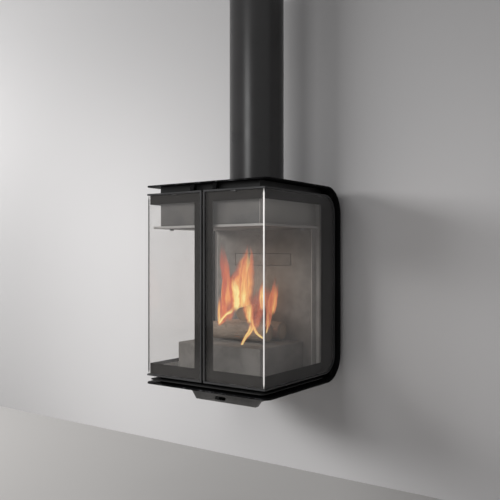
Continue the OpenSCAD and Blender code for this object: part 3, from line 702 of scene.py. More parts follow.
@dataclass(frozen=True)
class Flame(Finish):
    """Burning gas; its map is 0 to 1 across the tongue and 0 to 1 from foot to tip."""

    heat: float
    cover: float
    seed: float
    fade: float
    edge: Colour = (0.56, 0.115, 0.07)
    middle: Colour = (0.70, 0.18, 0.085)
    bright: Colour = (0.88, 0.36, 0.13)
    hot: Colour = (1.0, 0.61, 0.21)
    core: Colour = (1.0, 0.83, 0.34)

    def shader(self, sheet: NodeSheet) -> Expr:
        """Heat falls from the middle to the edges and tip, drawn out in threads along the tongue.

        Args:
            sheet: The node tree.

        Returns:
            The shader.
        """
        side, up = (sheet.coords("UV").axis(name) for name in "XY")
        drift = (self.seed, self.seed * 0.7, 0.0)
        sway = sheet.noise(sheet.placed((1.3, 2.4, 1.0), "UV", drift), 1.0, 3.0, 0.5)
        ripple = sheet.noise(sheet.placed((3.0, 8.0, 1.0), "UV", drift), 1.0, 2.0, 0.5)
        bent = side + (sway - 0.5) * 0.45 + (ripple - 0.5) * 0.22
        broad = sheet.make("CombineXYZ", {0: bent * 3.6, 1: up, 2: self.seed})
        narrow = sheet.make("CombineXYZ", {0: bent * 11.0, 1: up * 1.8, 2: self.seed + 5.0})
        streak, fine = sheet.noise(broad, 1.0, 3.0, 0.5), sheet.noise(narrow, 1.0, 2.0, 0.5)
        body = 1.0 - ((bent * 2.0 - 1.0).size().lowest(1.0)) ** 1.6
        heat = body * (self.heat - up * 0.42) + (streak - 0.5) * 1.4 + (fine - 0.5) * 0.5
        tones = (self.edge, self.middle, self.bright, self.hot, self.core)
        colour = sheet.make("ValToRGB", {0: heat}, stops=list(zip((0.0, 0.3, 0.58, 0.82, 1.0), tones)))
        rim = side.ramp(0.0, 0.22) * side.ramp(1.0, 0.78) * up.ramp(0.0, 0.14)
        torn = (up + (streak - 0.5) * 0.8 + (fine - 0.5) * 0.5).ramp(1.0, self.fade)
        threads = (streak * 0.5 + fine * 0.5).ramp(0.34, 0.56) * 0.4 + 0.6
        alpha = body.ramp(0.0, 0.7) * torn * rim * threads * self.cover
        glow = {"Emission_Color": colour, "Emission_Strength": 1.0}
        return sheet.principled((0.0, 0.0, 0.0), 1.0, 0.0, Alpha=alpha, **glow)


@dataclass(frozen=True)
class Backdrop(Finish):
    """A stage surface that is seen from its front only: plain, or with painted shade upwards and to the
    left.
    """

    colour: Colour
    painted_shade_high: float = 1.0
    painted_shade_left: float = 1.0

    def shader(self, sheet: NodeSheet) -> Expr:
        """A matt plaster tone with painted shade upwards and to the left, and nothing when seen from
        behind.

        Args:
            sheet: The node tree.

        Returns:
            The shader.
        """
        place = sheet.coords()
        soft = sheet.noise(place, 1.4, 2.0).ramp(0.3, 0.7)
        # Painted shade: the wall darkens upwards and to the left.
        high = place.axis("Z").ramp(0.1, 1.3)
        left = place.axis("X").ramp(-0.6, -1.9)
        colour = sheet.mix(soft * 0.12, self.colour, shade(self.colour, 0.94))
        colour = sheet.mix(high, colour, shade(self.colour, self.painted_shade_high))
        colour = sheet.mix(left * (1.0 - high * 0.5), colour, shade(self.colour, self.painted_shade_left))
        behind = sheet.make("NewGeometry", {}, "Backfacing")
        return sheet.blend(behind, sheet.principled(colour, 0.95, 0.05), sheet.make("BsdfTransparent", {}))


BAND_PAINT = StovePaint("band_paint", (0.0065, 0.0065, 0.007), specular=0.05, highlight_front_edge=-0.492)
BLACK_PAINT = StovePaint("black_paint", (0.006, 0.006, 0.0062), specular=0.05)
FLUE_PAINT = StovePaint("flue_paint", (0.015, 0.0141, 0.0144), mottle=0.2, roughness=0.31, specular=0.55)
BOX_PAINT = StovePaint("air_box_paint", (0.20, 0.197, 0.193), roughness=0.5, specular=0.4)
TRIM_PAINT = StovePaint("trim_paint", (0.045, 0.045, 0.046), mottle=0.2, roughness=0.36, specular=0.4)
PLATE_PAINT = StovePaint("plate_paint", (0.022, 0.022, 0.022), roughness=0.6, specular=0.3)
FLOOR_STEEL = HotSteel("floor_steel", (0.34, 0.325, 0.31), (0.25, 0.24, 0.232), sooty=0.3)
# Baffle: a painted highlight along its front lip, and painted light on its ends.
BAFFLE_STEEL = HotSteel(
    "baffle_steel", (0.17, 0.158, 0.147), (0.11, 0.108, 0.108), painted_highlight_front=-0.472, painted_light_flank=0.240
)
# Smoke box: black painted shade over the doors, and painted light on its sides.
BOX_STEEL = HotSteel(
    "smoke_box_steel",
    colour=(0.135, 0.124, 0.115),
    tint=(0.10, 0.096, 0.093),
    sooty=0.35,
    metallic=0.2,
    shade_painted_above=0.303,
    painted_light_flank=0.214,
    painted_light=(0.60, 0.57, 0.53),
)
JAMB_STEEL = HotSteel("jamb_steel", (0.50, 0.48, 0.455), (0.42, 0.405, 0.39), sooty=0.1, metallic=0.1)
BARE_STEEL = BrushedSteel("bare_steel", stain=0.15, grain=Grain.UPRIGHT)
PAN_STEEL = BrushedSteel("ash_pan_steel", stain=0.6, colour=(0.24, 0.24, 0.245))
CLIP_STEEL = BrushedSteel("clip_steel", stain=0.4, colour=(0.13, 0.13, 0.13))
ZINC = ZincPlate("zinc_plate")
CAST = CastIron("cast_iron")
CLAY = FireClay("fire_clay")
WOOL = MineralWool("mineral_wool")
ROPE = GlassRope("glass_rope")
BARK = Bark("charred_bark")
END_GRAIN = EndGrain("log_end")
GLASS = CeramicGlass("ceramic_glass")
# A copy with a thicker haze: painted sheen that makes the side panes paler.
SIDE_GLASS_PAINTED_SHEEN = CeramicGlass("side_ceramic_glass", window_share=0.078, border_share=0.040)
# The right door's edge: a painted highlight that glows.
EDGE_PAINTED_HIGHLIGHT = PolishedEdge("polished_glass_edge")
# The left door's edge: a dark copy without glow, painted shade.
EDGE_PAINTED_SHADE = PolishedEdge("shaded_glass_edge", (0.10, 0.097, 0.094), foot=(0.08, 0.077, 0.074), glow=0.0)
ENAMEL = EnamelPrint("enamel_print")
# The wall carries painted shade, darker upwards and to the left.
WALL_PAINTED_SHADE = Backdrop("wall_plain", (0.70, 0.69, 0.69), painted_shade_high=0.66, painted_shade_left=0.62)
FLOOR_PLAIN = Backdrop("floor_plain", (0.56, 0.545, 0.53))


# Meshes and the dressing of pieces


def unit(vectors: np.ndarray) -> np.ndarray:
    """The vectors, each divided by its length."""
    return vectors / np.linalg.norm(vectors, axis=-1, keepdims=True)


def blunted(wave: np.ndarray, power: float) -> np.ndarray:
    """A wave raised to a power with its sign kept, which turns a circle into a superellipse."""
    return np.sign(wave) * np.abs(wave) ** power


def surface_mesh(
    name: str, grid: np.ndarray, uv: Optional[np.ndarray] = None, wrap: bool = True, capped: bool = False
) -> bpy.types.Mesh:
    """Makes a mesh from a grid of points that runs along a path and across or round it.

    Face (i, j) joins the points (i, j), (i, j+1), (i+1, j+1) and (i+1, j).

    Args:
        name: The mesh's name.
        grid: Points of shape (along, round, 3), in metres.
        uv: Map coordinates of shape (along, round, 2), with one column more if it wraps.
        wrap: Whether the last column joins the first.
        capped: Whether the first and last rings are each closed with one face.

    Returns:
        The smooth mesh; its normals are outward where rings turn right-handed about the path.
    """
    along, around = grid.shape[:2]
    last = around if wrap else around - 1
    i, j = np.meshgrid(np.arange(along - 1), np.arange(last), indexing="ij")
    beside = (j + 1) % around
    ring, following = i * around, (i + 1) * around
    quads = np.stack([ring + j, ring + beside, following + beside, following + j], -1)
    faces: List[Sequence[int]] = quads.reshape(-1, 4).tolist()
    if capped:
        faces += [range(around)[::-1], range((along - 1) * around, along * around)]
    mesh = bpy.data.meshes.new(name)
    mesh.from_pydata(grid.reshape(-1, 3).tolist(), [], faces)
    mesh.polygons.foreach_set("use_smooth", np.ones(len(faces), bool))
    if uv is not None:
        corners = np.stack([uv[:-1, :-1], uv[:-1, 1:], uv[1:, 1:], uv[1:, :-1]], 2).reshape(-1, 2)
        extra = np.zeros((len(mesh.loops) - len(corners), 2))
        layer = mesh.uv_layers.new(name="map")
        layer.data.foreach_set("uv", np.vstack([corners, extra]).astype(np.float32).ravel())
    mesh.update()
    return mesh


def rework(mesh: bpy.types.Mesh, merge: float, flat: Optional[float] = None) -> None:
    """Merges a mesh's doubled points, then joins its flat faces or turns all faces outward.

    Args:
        mesh: The mesh, changed in place.
        merge: The distance in metres within which points become one.
        flat: The angle under which neighbouring faces are joined; None turns faces outward.
    """
    shell = bmesh.new()
    shell.from_mesh(mesh)
    bmesh.ops.remove_doubles(shell, verts=shell.verts[:], dist=merge)
    if flat is None:
        bmesh.ops.recalc_face_normals(shell, faces=shell.faces[:])
    else:
        bmesh.ops.dissolve_limit(shell, angle_limit=flat, verts=shell.verts[:], edges=shell.edges[:])
    shell.to_mesh(mesh)
    shell.free()


def put(name: str, data: bpy.types.ID) -> bpy.types.Object:
    """Puts a mesh, a lamp or a camera into the scene.

    Args:
        name: The object's name.
        data: What the object holds.

    Returns:
        The object.
    """
    obj = bpy.data.objects.new(name, data)
    bpy.context.scene.collection.objects.link(obj)
    return obj


def piece(
    name: str, mesh: bpy.types.Mesh, body: str, slot: Optional[str], *finishes: Finish
) -> bpy.types.Object:
    """Puts a mesh into the scene as a dressed piece that rides on a body.

    Args:
        name: The piece's name.
        mesh: Its mesh, in place.
        body: The body that it moves with.
        slot: The record's material slot, or None; not used.
        *finishes: Its finishes, in the order of the mesh's material numbers.

    Returns:
        The new object.
    """
    obj = put(name, mesh)
    for finish in finishes:
        mesh.materials.append(finish.material())
    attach(obj, body)
    LOG.info("piece %s: %d faces, on %s", name, len(mesh.polygons), body)
    return obj


@dataclass
class Workshop:
    """Dresses the frame's nodes and makes softened copies of them."""

    nodes: Dict[str, bpy.types.Object]
    record: Dict[str, object]
    merge: float = 2e-6
    flat: float = math.radians(0.8)
    sharp: float = math.radians(30.0)

    def body(self, node: str) -> str:
        """The body on which a node rides."""
        bodies = self.record["behaviour"]["bodies"]
        return next(name for name, members in bodies.items() if node in members)

    def slot(self, node: str) -> str:
        """The record's material slot of a node."""
        return next(part["material_slot"] for part in self.record["subparts"] if part["node"] == node)

    def paint(self, finish: Finish, *nodes: str) -> None:
        """Gives nodes a finish.

        Args:
            finish: The finish.
            *nodes: The nodes, which keep their meshes.
        """
        for node in nodes:
            materials = self.nodes[node].data.materials
            materials.clear()
            materials.append(finish.material())
            LOG.info("node %s: %s", node, finish.name)

    def soften(self, finish: Finish, width: float, *nodes: str, segments: int = 2) -> None:
        """Replaces nodes by copies with rounded edges, as bent or ground metal has them.

        Each copy has its doubled points merged and its flat faces joined, and a bevel
        rounds every edge where the faces turn by more than the angle in sharp.

        Args:
            finish: The copies' finish.
            width: The rounding's width in metres.
            *nodes: The nodes to copy.
            segments: The rounding's number of steps.
        """
        for node in nodes:
            mesh = self.nodes[node].data.copy()
            mesh.name = f"{node}_soft"
            rework(mesh, self.merge, self.flat)
            mesh.materials.clear()
            mesh.polygons.foreach_set("use_smooth", np.ones(len(mesh.polygons), bool))
            mesh.update()
            obj = piece(f"{node}_formed", mesh, self.body(node), self.slot(node), finish)
            bevel = obj.modifiers.new("rounded_edges", "BEVEL")
            bevel.width, bevel.segments = width, segments
            bevel.limit_method = "ANGLE"
            bevel.angle_limit = self.sharp
            bevel.use_clamp_overlap = False
            bevel.harden_normals = True
            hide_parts(node)


# The parts of the stove


@dataclass
class Assembly:
    """A part of the stove, with the shop that dresses it and the usual roundings of its edges."""

    shop: Workshop
    plate_round: float = 0.0009
    sheet_round: float = 0.0006
    fitting_round: float = 0.0005
    fine_round: float = 0.0004


@dataclass
class Casing(Assembly):
    """The band, the wall bracket with its bolts, the sill, the low frames and the fittings."""

    def build(self) -> None:
        """Dresses the pieces of the outer casing."""
        soften = self.shop.soften
        soften(BAND_PAINT, self.plate_round, "casing_band", segments=3)
        soften(PLATE_PAINT, self.plate_round, "wall_bracket")
        soften(PLATE_PAINT, self.sheet_round, "sill_plate")
        soften(BLACK_PAINT, self.fine_round, "base_frame", "floor_frame")
        soften(BLACK_PAINT, self.fitting_round, "pivot_bearings")
        soften(BLACK_PAINT, self.sheet_round, "catch_magnets")
        soften(ZINC, self.fine_round, "hanging_bolts")


@dataclass
class FireChamber(Assembly):
    """Smoke box, baffle, seal plates, back casing and lining, and the floor."""

    stud_round: float = 0.0003
    clay_round: float = 0.0012

    def build(self) -> None:
        """Dresses the pieces round the fire."""
        soften = self.shop.soften
        soften(BOX_STEEL, self.sheet_round, "smoke_box")
        soften(BAFFLE_STEEL, self.sheet_round, "baffle_plate")
        soften(FLOOR_STEEL, self.sheet_round, "floor_plate")
        soften(PLATE_PAINT, self.sheet_round, "top_seal_plate", "centre_post")
        soften(JAMB_STEEL, self.sheet_round, "side_jambs", "back_casing")
        soften(ZINC, self.stud_round, "baffle_studs")
        soften(CLAY, self.clay_round, "back_lining", "lining_plate")


@dataclass
class LogShape:
    """One log: its middle, length, radius, turn about Z and the seed of its bark."""

    name: str
    middle: Point
    length: float
    radius: float
    turn: float
    seed: int
    knots: int = 3
    knot_share: float = 0.06
    furrow_share: float = 0.055
    furrows: Sequence[int] = (9, 13, 21, 34)

    def shares(self, t: np.ndarray, angle: np.ndarray) -> np.ndarray:
        """How much of the log's radius is left at each point of its side.

        It is 1 less an oval of two and three lobes, less a furrow depth, plus a smooth
        swelling at each old knot. The furrow depth is a sum of ridges that run along the
        log and bend a little, in sets of 9 to 34 round it, and waxes and wanes on the way.

        Args:
            t: The place along the log, from -0.5 to 0.5, as a column.
            angle: The angle round the log, as a row.

        Returns:
            The share of the radius, under 1.
        """
        chance = np.random.default_rng(self.seed)
        depth = np.zeros(np.broadcast(t, angle).shape)
        for count in self.furrows:
            bend = sum(
                chance.uniform(0.2, 0.6) * np.sin(FULL_TURN * k * t + chance.uniform(0, ANY_TURN))
                for k in (1, 2, 4)
            )
            swing = chance.uniform(0.2, 0.8) * np.sin(3.0 * angle + 7.0 * t + chance.uniform(0, ANY_TURN))
            ridge = np.abs(np.sin(0.5 * count * angle + 2.2 * bend + swing))
            depth += (1.0 - ridge) ** 2.2 / count * 5.0
        broken = 0.5 + 0.5 * np.sin(38.0 * t + 2.5 * np.sin(5.0 * angle + chance.uniform(0, ANY_TURN)))
        depth *= 0.65 + 0.35 * broken
        oval = 0.030 * (1.0 - np.cos(2.0 * angle + chance.uniform(0, ANY_TURN)))
        oval = oval + 0.02 * (1.0 + np.sin(3.0 * angle + 5.0 * t))
        swelling = np.zeros(depth.shape)
        for _ in range(self.knots):
            at, turn = chance.uniform(-0.4, 0.4), chance.uniform(0.0, ANY_TURN)
            gap = np.angle(np.exp(1j * (angle - turn)))
            swelling += self.knot_share * np.exp(-((t - at) ** 2) / 0.004 - gap**2 / 0.08)
        return np.minimum(1.0 - oval - self.furrow_share * depth - self.knot_share + swelling, 0.995)

    def mesh(self, along: int = 150, around: int = 144) -> bpy.types.Mesh:
        """A bark-covered cylinder along X, turned about Z.

        Its radius is the log's radius times shares(), drawn in a little at both ends.

        Args:
            along: Points along the log.
            around: Points round the log.

        Returns:
            The mesh, with material 0 on the bark and 1 on the sawn ends.
        """
        t = np.linspace(-0.5, 0.5, along)[:, None]
        angle = np.linspace(0.0, FULL_TURN, around, endpoint=False)[None, :]
        edge = 1.0 - 0.035 * np.clip((np.abs(t) - 0.485) / 0.015, 0.0, 1.0) ** 2
        radius = self.radius * self.shares(t, angle) * edge
        x = np.broadcast_to(t * self.length * 0.998, radius.shape)
        y, z = radius * np.cos(angle), radius * np.sin(angle)
        cos, sin = math.cos(self.turn), math.sin(self.turn)
        points = np.stack([x * cos - y * sin, x * sin + y * cos, z], -1) + np.array(self.middle)
        girth = np.linspace(0.0, FULL_TURN * self.radius, around + 1)[None, :]
        uv = np.stack(np.broadcast_arrays(t * self.length, girth), -1)
        mesh = surface_mesh(self.name, points, uv, capped=True)
        marks = np.zeros(len(mesh.polygons), np.int32)
        marks[-2:] = 1
        mesh.polygons.foreach_set("material_index", marks)
        mesh.polygons.foreach_set("use_smooth", marks == 0)
        layer = mesh.uv_layers["map"].data
        ring = np.stack([y, z], -1)
        for face, row in ((mesh.polygons[-2], 0), (mesh.polygons[-1], along - 1)):
            for corner in face.loop_indices:
                layer[corner].uv = ring[row, mesh.loops[corner].vertex_index % around]
        return mesh


@dataclass
class Hearth(Assembly):
    """The raised hearth box, grate, ash pan and the burning logs."""

    box_round: float = 0.0016
    grate_round: float = 0.0012
    log_z: float = -0.167
    grate_y: float = -0.230
    apart: float = 0.045
    log_radius: float = 0.036
    log_length: float = 0.240
    top_x: float = 0.010
    top_radius: float = 0.029
    top_length: float = 0.163
    top_turn: float = -72.0

    def build(self) -> None:
        """Dresses the hearth, lays two logs side by side and a third across them."""
        soften = self.shop.soften
        soften(CLAY, self.box_round, "hearth_box")
        soften(CAST, self.grate_round, "grate")
        soften(PAN_STEEL, self.fine_round, "ash_pan")
        length, radius, y, z = self.log_length, self.log_radius, self.grate_y, self.log_z
        over = (self.top_x, y, z + radius + self.top_radius)
        turn = math.radians(self.top_turn)
        for shape in (
            LogShape("log_front", (0.0, y - self.apart, z), length, radius, 0.0, 11),
            LogShape("log_rear", (0.0, y + self.apart, z), length, radius, 0.0, 23),
            LogShape("log_crossing", over, self.top_length, self.top_radius, turn, 37),
        ):
            log = piece(shape.name, shape.mesh(), "stove", "bark", BARK, END_GRAIN)
            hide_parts("firewood")


@dataclass
class Tongue:
    """One flame: points (across, up) in millimetres on an upright plane, and half widths."""

    name: str
    points: Sequence[Plane]
    widths: Sequence[float]
    heat: float
    cover: float
    seed: float
    centre: Plane = (0.009, -0.230)
    fade: float = 0.5
    facing: float = 35.45

    def finish(self) -> Flame:
        """The tongue's own finish."""
        return Flame(f"{self.name}_gas", self.heat, self.cover, self.seed, self.fade)

    def mesh(self, along: int = 72, around: int = 25, reach: int = 6) -> bpy.types.Mesh:
        """An open sheet of gas, bowed across and swaying in depth, carried along a smooth path.

        The path and the half width go through the given points, rounded by a running
        mean. Each row is an arc, square to the path's own direction, that bows towards
        the room; the whole sheet leans to and fro in depth by a sine of its height.

        Args:
            along: Points from foot to tip.
            around: Points across the sheet.
            reach: How many neighbours on each side the running mean takes in.

        Returns:
            The mesh, mapped across and up the flame.
        """
        t = np.linspace(0.0, 1.0, along)
        knots = np.linspace(0.0, 1.0, len(self.points))
        mean = np.ones(2 * reach + 1) / (2 * reach + 1)
        smooth = []
        for values in (*zip(*self.points), self.widths):
            line = np.interp(t, knots, values)
            below = 2.0 * line[0] - line[reach:0:-1]
            above = 2.0 * line[-1] - line[-2 : -2 - reach : -1]
            smooth.append(np.convolve(np.concatenate([below, line, above]), mean, "valid"))
        path = np.stack(smooth[:2], -1) * 0.001
        wide = np.maximum(smooth[2], 0.3)[:, None] * 0.001
        ahead = unit(np.gradient(path, axis=0))
        square = np.stack([ahead[:, 1], -ahead[:, 0]], -1)
        u = np.linspace(-1.0, 1.0, around)
        flat = path[:, None, :] + (wide * u)[..., None] * square[:, None, :]
        depth = 0.45 * wide * (1.0 - u**2) + 0.006 * np.sin(5.0 * t[:, None] + self.seed + 1.2 * u)
        turn = math.radians(self.facing)
        right = np.array([math.cos(turn), math.sin(turn), 0.0])
        out = np.array([math.sin(turn), -math.cos(turn), 0.0])
        grid = np.array([*self.centre, 0.0]) + flat[..., :1] * right + depth[..., None] * out
        grid[..., 2] += flat[..., 1]
        uv = np.stack(np.broadcast_arrays(0.5 + 0.5 * u[None, :], t[:, None]), -1)
        return surface_mesh(self.name, grid, uv, wrap=False)


@dataclass
class Fire:
    """The flames over the logs, and the lamp that stands for their light."""

    near: Plane = (0.079, -0.3337)
    near_centre: Plane = (0.021, -0.247)
    lamp_at: Point = (0.01, -0.25, 0.0)
    lamp_watts: float = 0.36
    lamp_colour: Colour = (1.0, 0.74, 0.50)
    lamp_radius: float = 0.06

    def tongues(self) -> List[Tongue]:
        """Lists the flames.

        Returns:
            Those from the left of the fire to its right, then those that cross them.
        """
        near, near_centre = self.near, self.near_centre
        return [
            Tongue("flame_left", [(-83, -87), (-82, -36), (-84, 11), (-91, 62), (-99, 109), (-103, 149)],
                   [24, 25, 21, 23, 17, 6.8], 0.36, 0.85, 0.6),
            Tongue("flame_left_middle", [(-83, -138), (-80, -98), (-71, -54), (-62, -11), (-58, 33)],
                   [20, 33, 36, 32, 18], 0.52, 0.8, 3.3),
            Tongue("flame_left_base", [(-102, -156), (-100, -116), (-99, -76), (-104, -36)],
                   [15, 23, 23, 15], 0.5, 0.85, 2.1, fade=0.6),
            Tongue("flame_left_edge", [(-110, -145), (-111, -109), (-110, -73), (-109, -43)],
                   [5.3, 7.3, 7.3, 5], 1.1, 0.8, 2.9, near_centre),
            Tongue("flame_main", [(-33, -112), (-31, -58), (-27, -7), (-18, 44),
                                  (-8, 87), (-5, 117), (-6, 143)],
                   [41, 50, 51, 43, 33, 19, 7.3], 0.9, 0.94, 3.7),
            Tongue("flame_core", [(-53, -97), (-48, -61), (-49, -28), (-55, 4), (-59, 33)],
                   [12.4, 21, 21, 17, 9.8], 1.25, 0.92, 5.2, near_centre, 0.6),
            Tongue("flame_join", [(-68, -66), (-64, -25), (-57, 18), (-49, 62)],
                   [15, 22, 19, 9], 0.62, 0.82, 1.7),
            Tongue("flame_inner", [(-22, -87), (-22, -40), (-24, 7), (-20, 58), (-15, 94)],
                   [15, 19, 19, 14, 8.2], 1.05, 0.8, 6.4, near_centre),
            Tongue("flame_arc", [(-106, -136), (-93, -115), (-78, -98), (-62, -90), (-49, -71)],
                   [5.4, 7.2, 8.2, 8.9, 7.9], 1.35, 0.9, 1.1, near, 0.7),
            Tongue("flame_stem", [(5, -133), (0, -98), (-6, -67), (-9, -33)],
                   [14, 21, 24, 14], 1.0, 0.85, 7.9, near),
            Tongue("flame_haze", [(14, -153), (22, -115), (28, -77), (30, -43), (31, -12)],
                   [18, 29, 32, 21, 9.4], 0.35, 0.6, 9.3, near),
            Tongue("flame_right_lobe", [(47, -98), (44, -69), (44, -40), (46, -11), (48, 11)],
                   [10.6, 17, 18, 14, 6.1], 1.05, 0.95, 4.1),
            Tongue("flame_right_low", [(63, -160), (68, -108), (68, -67), (66, -29), (64, 2)],
                   [7, 14, 16, 16, 7.8], 0.6, 0.75, 5.9, near),
            Tongue("flame_right_blade", [(80, -116), (86, -73), (89, -40), (93, -7), (95, 26)],
                   [9.8, 17, 19, 15, 6.6], 0.62, 0.95, 8.3),
            Tongue("flame_thread", [(59, -167), (63, -146), (68, -126), (72, -102)],
                   [2.9, 4.3, 4.3, 2.9], 1.1, 0.8, 0.9, near),
            Tongue("flame_fork_left", [(-31, -228), (-24, -201), (-10, -177), (4, -158),
                                       (12, -133), (9, -102)],
                   [3.5, 5.7, 7.9, 10.4, 10.4, 7.2], 1.2, 0.95, 3.1, near, 0.75),
            Tongue("flame_fork_right", [(53, -186), (40, -177), (26, -164), (17, -146), (10, -115)],
                   [3.5, 5.4, 6.9, 8.6, 6.4], 1.3, 0.95, 4.4, near, 0.75),
            Tongue("flame_cross_left", [(4, -120), (-6, -50), (6, 20), (-2, 112)],
                   [18, 25, 20, 9], 0.8, 0.85, 5.9, (-0.070, -0.270), facing=-50.0),
            Tongue("flame_cross_main", [(0, -120), (8, -50), (-6, 20), (4, 120)],
                   [25, 34, 25, 10.2], 0.9, 0.85, 8.8, (-0.004, -0.238), facing=-56.0),
            Tongue("flame_cross_right", [(2, -110), (-4, -70), (3, -35), (0, 10)],
                   [10.2, 16, 14, 6.8], 0.8, 0.85, 0.3, (0.078, -0.190), facing=-52.0),
        ]

    def build(self) -> None:
        """Makes the flames and the lamp."""
        for tongue in self.tongues():
            piece(tongue.name, tongue.mesh(), "stove", None, tongue.finish())
        lamp = bpy.data.lights.new("firelight", "POINT")
        lamp.energy = self.lamp_watts
        lamp.color = self.lamp_colour
        lamp.shadow_soft_size = self.lamp_radius
        holder = put("firelight", lamp)
        holder.location = self.lamp_at
        holder.visible_glossy = False


@dataclass
class Flue(Assembly):
    """The insulated flue: casing, liner, spigot, wool and end ring."""

    ring_round: float = 0.0008

    def build(self) -> None:
        """Dresses the flue's tubes."""
        self.shop.paint(BARE_STEEL, "flue_liner")
        self.shop.paint(ZINC, "flue_spigot")
        self.shop.paint(WOOL, "flue_insulation")
        self.shop.paint(FLUE_PAINT, "flue_casing")
        self.shop.soften(PLATE_PAINT, self.ring_round, "flue_end_ring")


@dataclass
class AirSupply(Assembly):
    """The air box under the stove, its shutter with the lever, and the air inlet."""

    def build(self) -> None:
        """Dresses the air supply."""
        soften = self.shop.soften
        soften(BOX_PAINT, self.fine_round, "air_front_sheet")
        soften(BOX_PAINT, self.sheet_round, "air_box")
        soften(PLATE_PAINT, self.fine_round, "port_plate")
        soften(BOX_PAINT, self.fine_round, "air_inlet")
        soften(PLATE_PAINT, self.fitting_round, "air_shutter")


@dataclass
class DoorLeaf(Assembly):
    """One L-shaped glass door with its frame, print, trim, rope and fittings."""

    side: Side = Side.RIGHT
    clip_round: float = 0.0002
    glass_x: float = 0.249
    glass_y: float = -0.488
    glass_t: float = 0.005
    glass_z: float = 0.315
    edge_proud: float = 0.0007
    edge_spare: float = 0.0003
    edge_taper: float = 0.002
    frame_x: float = 0.2335
    frame_y: float = -0.4725
    rope_t: float = 0.0038
    rope_w: float = 0.008
    rope_z: float = 0.309
    rope_corners: Sequence[float] = (0.0042, 0.0021, 0.0042)
    knit: float = 0.007
    post_x: float = 0.010
    jamb_y: float = -0.110

    def build(self) -> None:
        """Dresses the door, lays its rope and adds the polished edge of its side pane."""
        word = self.side.name.lower()
        soften, paint = self.shop.soften, self.shop.paint
        soften(TRIM_PAINT, self.sheet_round, f"{word}_trim")
        paint(GLASS, f"{word}_front_glass")
        paint(SIDE_GLASS_PAINTED_SHEEN, f"{word}_side_glass")
        paint(ENAMEL, f"{word}_enamel")
        soften(JAMB_STEEL, self.sheet_round, f"{word}_frame")
        soften(CLIP_STEEL, self.clip_round, f"{word}_clips")
        soften(BLACK_PAINT, self.fitting_round, f"{word}_pivots")
        soften(BLACK_PAINT, self.fine_round, f"{word}_catch")
        cord = piece(f"{word}_rope", self.rope(f"{word}_rope"), f"{word}_door", "rope", ROPE)
        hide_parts(f"{word}_gasket")
        # The right door's edge gets the painted highlight, the left door's edge the painted shade.
        edge = EDGE_PAINTED_HIGHLIGHT if self.side is Side.RIGHT else EDGE_PAINTED_SHADE
        piece(f"{word}_glass_edge", self.edge(f"{word}_glass_edge"), f"{word}_door", "glass", edge)

    def rope(
        self, name: str, step: float = 0.0014, around: int = 20, blunt: float = 0.72
    ) -> bpy.types.Mesh:
        """A flattened rope carried round a closed path with rounded corners.

        Each ring is a superellipse, rope_w wide and rope_t deep, swollen and drawn in
        by two crossing waves that run along and round the rope as its knit does.

        Args:
            name: The mesh's name.
            step: Distance between rings, in metres.
            around: Points in a ring.
            blunt: The superellipse's power.

        Returns:
            The rope's closed mesh.
        """
        mid_x, mid_y = self.frame_x - self.rope_t / 2, self.frame_y + self.rope_t / 2
        upper = [(self.post_x, mid_y), (mid_x, mid_y), (mid_x, self.jamb_y)]
        corners = [(x, y, self.rope_z) for x, y in upper] + [(x, y, -self.rope_z) for x, y in upper[::-1]]
        path = rounded_path(np.array(corners), self.rope_corners * 2, step)
        ahead = unit(np.roll(path, -1, 0) - np.roll(path, 1, 0))
        in_front = path[:, 1:2] < self.frame_y + self.rope_t
        deep_way = np.where(in_front, np.array([0.0, 1.0, 0.0]), np.array([1.0, 0.0, 0.0]))
        deep_way = unit(deep_way - (deep_way * ahead).sum(1, keepdims=True) * ahead)
        wide_way = np.cross(ahead, deep_way)
        lengths = np.concatenate([[0.0], np.cumsum(np.linalg.norm(np.diff(path, axis=0), axis=1))])
        angle = np.linspace(0.0, FULL_TURN, around, endpoint=False)
        run = lengths[:, None] * (FULL_TURN / self.knit)
        swell = 0.94 + 0.05 * np.sin(run + 3.0 * angle) * np.sin(run - 3.0 * angle)
        wide = swell * blunted(np.cos(angle), blunt) * self.rope_w / 2
        deep = swell * blunted(np.sin(angle), blunt) * self.rope_t / 2
        rings = path[:, None, :] + wide[..., None] * wide_way[:, None, :]
        rings = rings + deep[..., None] * deep_way[:, None, :]
        rings = np.concatenate([rings, rings[:1]], 0)
        if self.side is Side.LEFT:
            rings = rings[:, ::-1, :] * np.array([-1.0, 1.0, 1.0])
        run_uv = np.append(lengths, lengths[-1] + step)[:, None]
        round_uv = np.linspace(0.0, 2.0 * (self.rope_w + self.rope_t), around + 1)[None, :]
        mesh = surface_mesh(name, rings, np.stack(np.broadcast_arrays(run_uv, round_uv), -1))
        rework(mesh, merge=1e-6)
        return mesh

    def edge(self, name: str, rows: int = 40, around: int = 24, blunt: float = 0.5) -> bpy.types.Mesh:
        """A thin rounded bar down the corner, over the side pane's front edge.

        Its section is a superellipse, a little wider than the pane is thick, and its
        ends are drawn in along a quarter circle.

        Args:
            name: The mesh's name.
            rows: Number of rings along the bar.
            around: Points in a ring.
            blunt: The superellipse's power.

        Returns:
            The bar's closed mesh.
        """
        z = np.linspace(-self.glass_z, self.glass_z, rows)[:, None]
        reach = np.clip((self.glass_z - np.abs(z)) / self.edge_taper, 0.0, 1.0)
        shrink = np.sqrt(1.0 - (1.0 - reach) ** 2) * 0.999 + 0.001
        angle = np.linspace(0.0, FULL_TURN, around, endpoint=False)
        across = blunted(np.cos(angle), blunt) * (self.glass_t / 2 + self.edge_spare)
        x = self.side.value * (self.glass_x - self.glass_t / 2) + shrink * across
        y = self.glass_y + shrink * blunted(np.sin(angle), blunt) * self.edge_proud
        return surface_mesh(name, np.stack(np.broadcast_arrays(x, y, z), -1), capped=True)


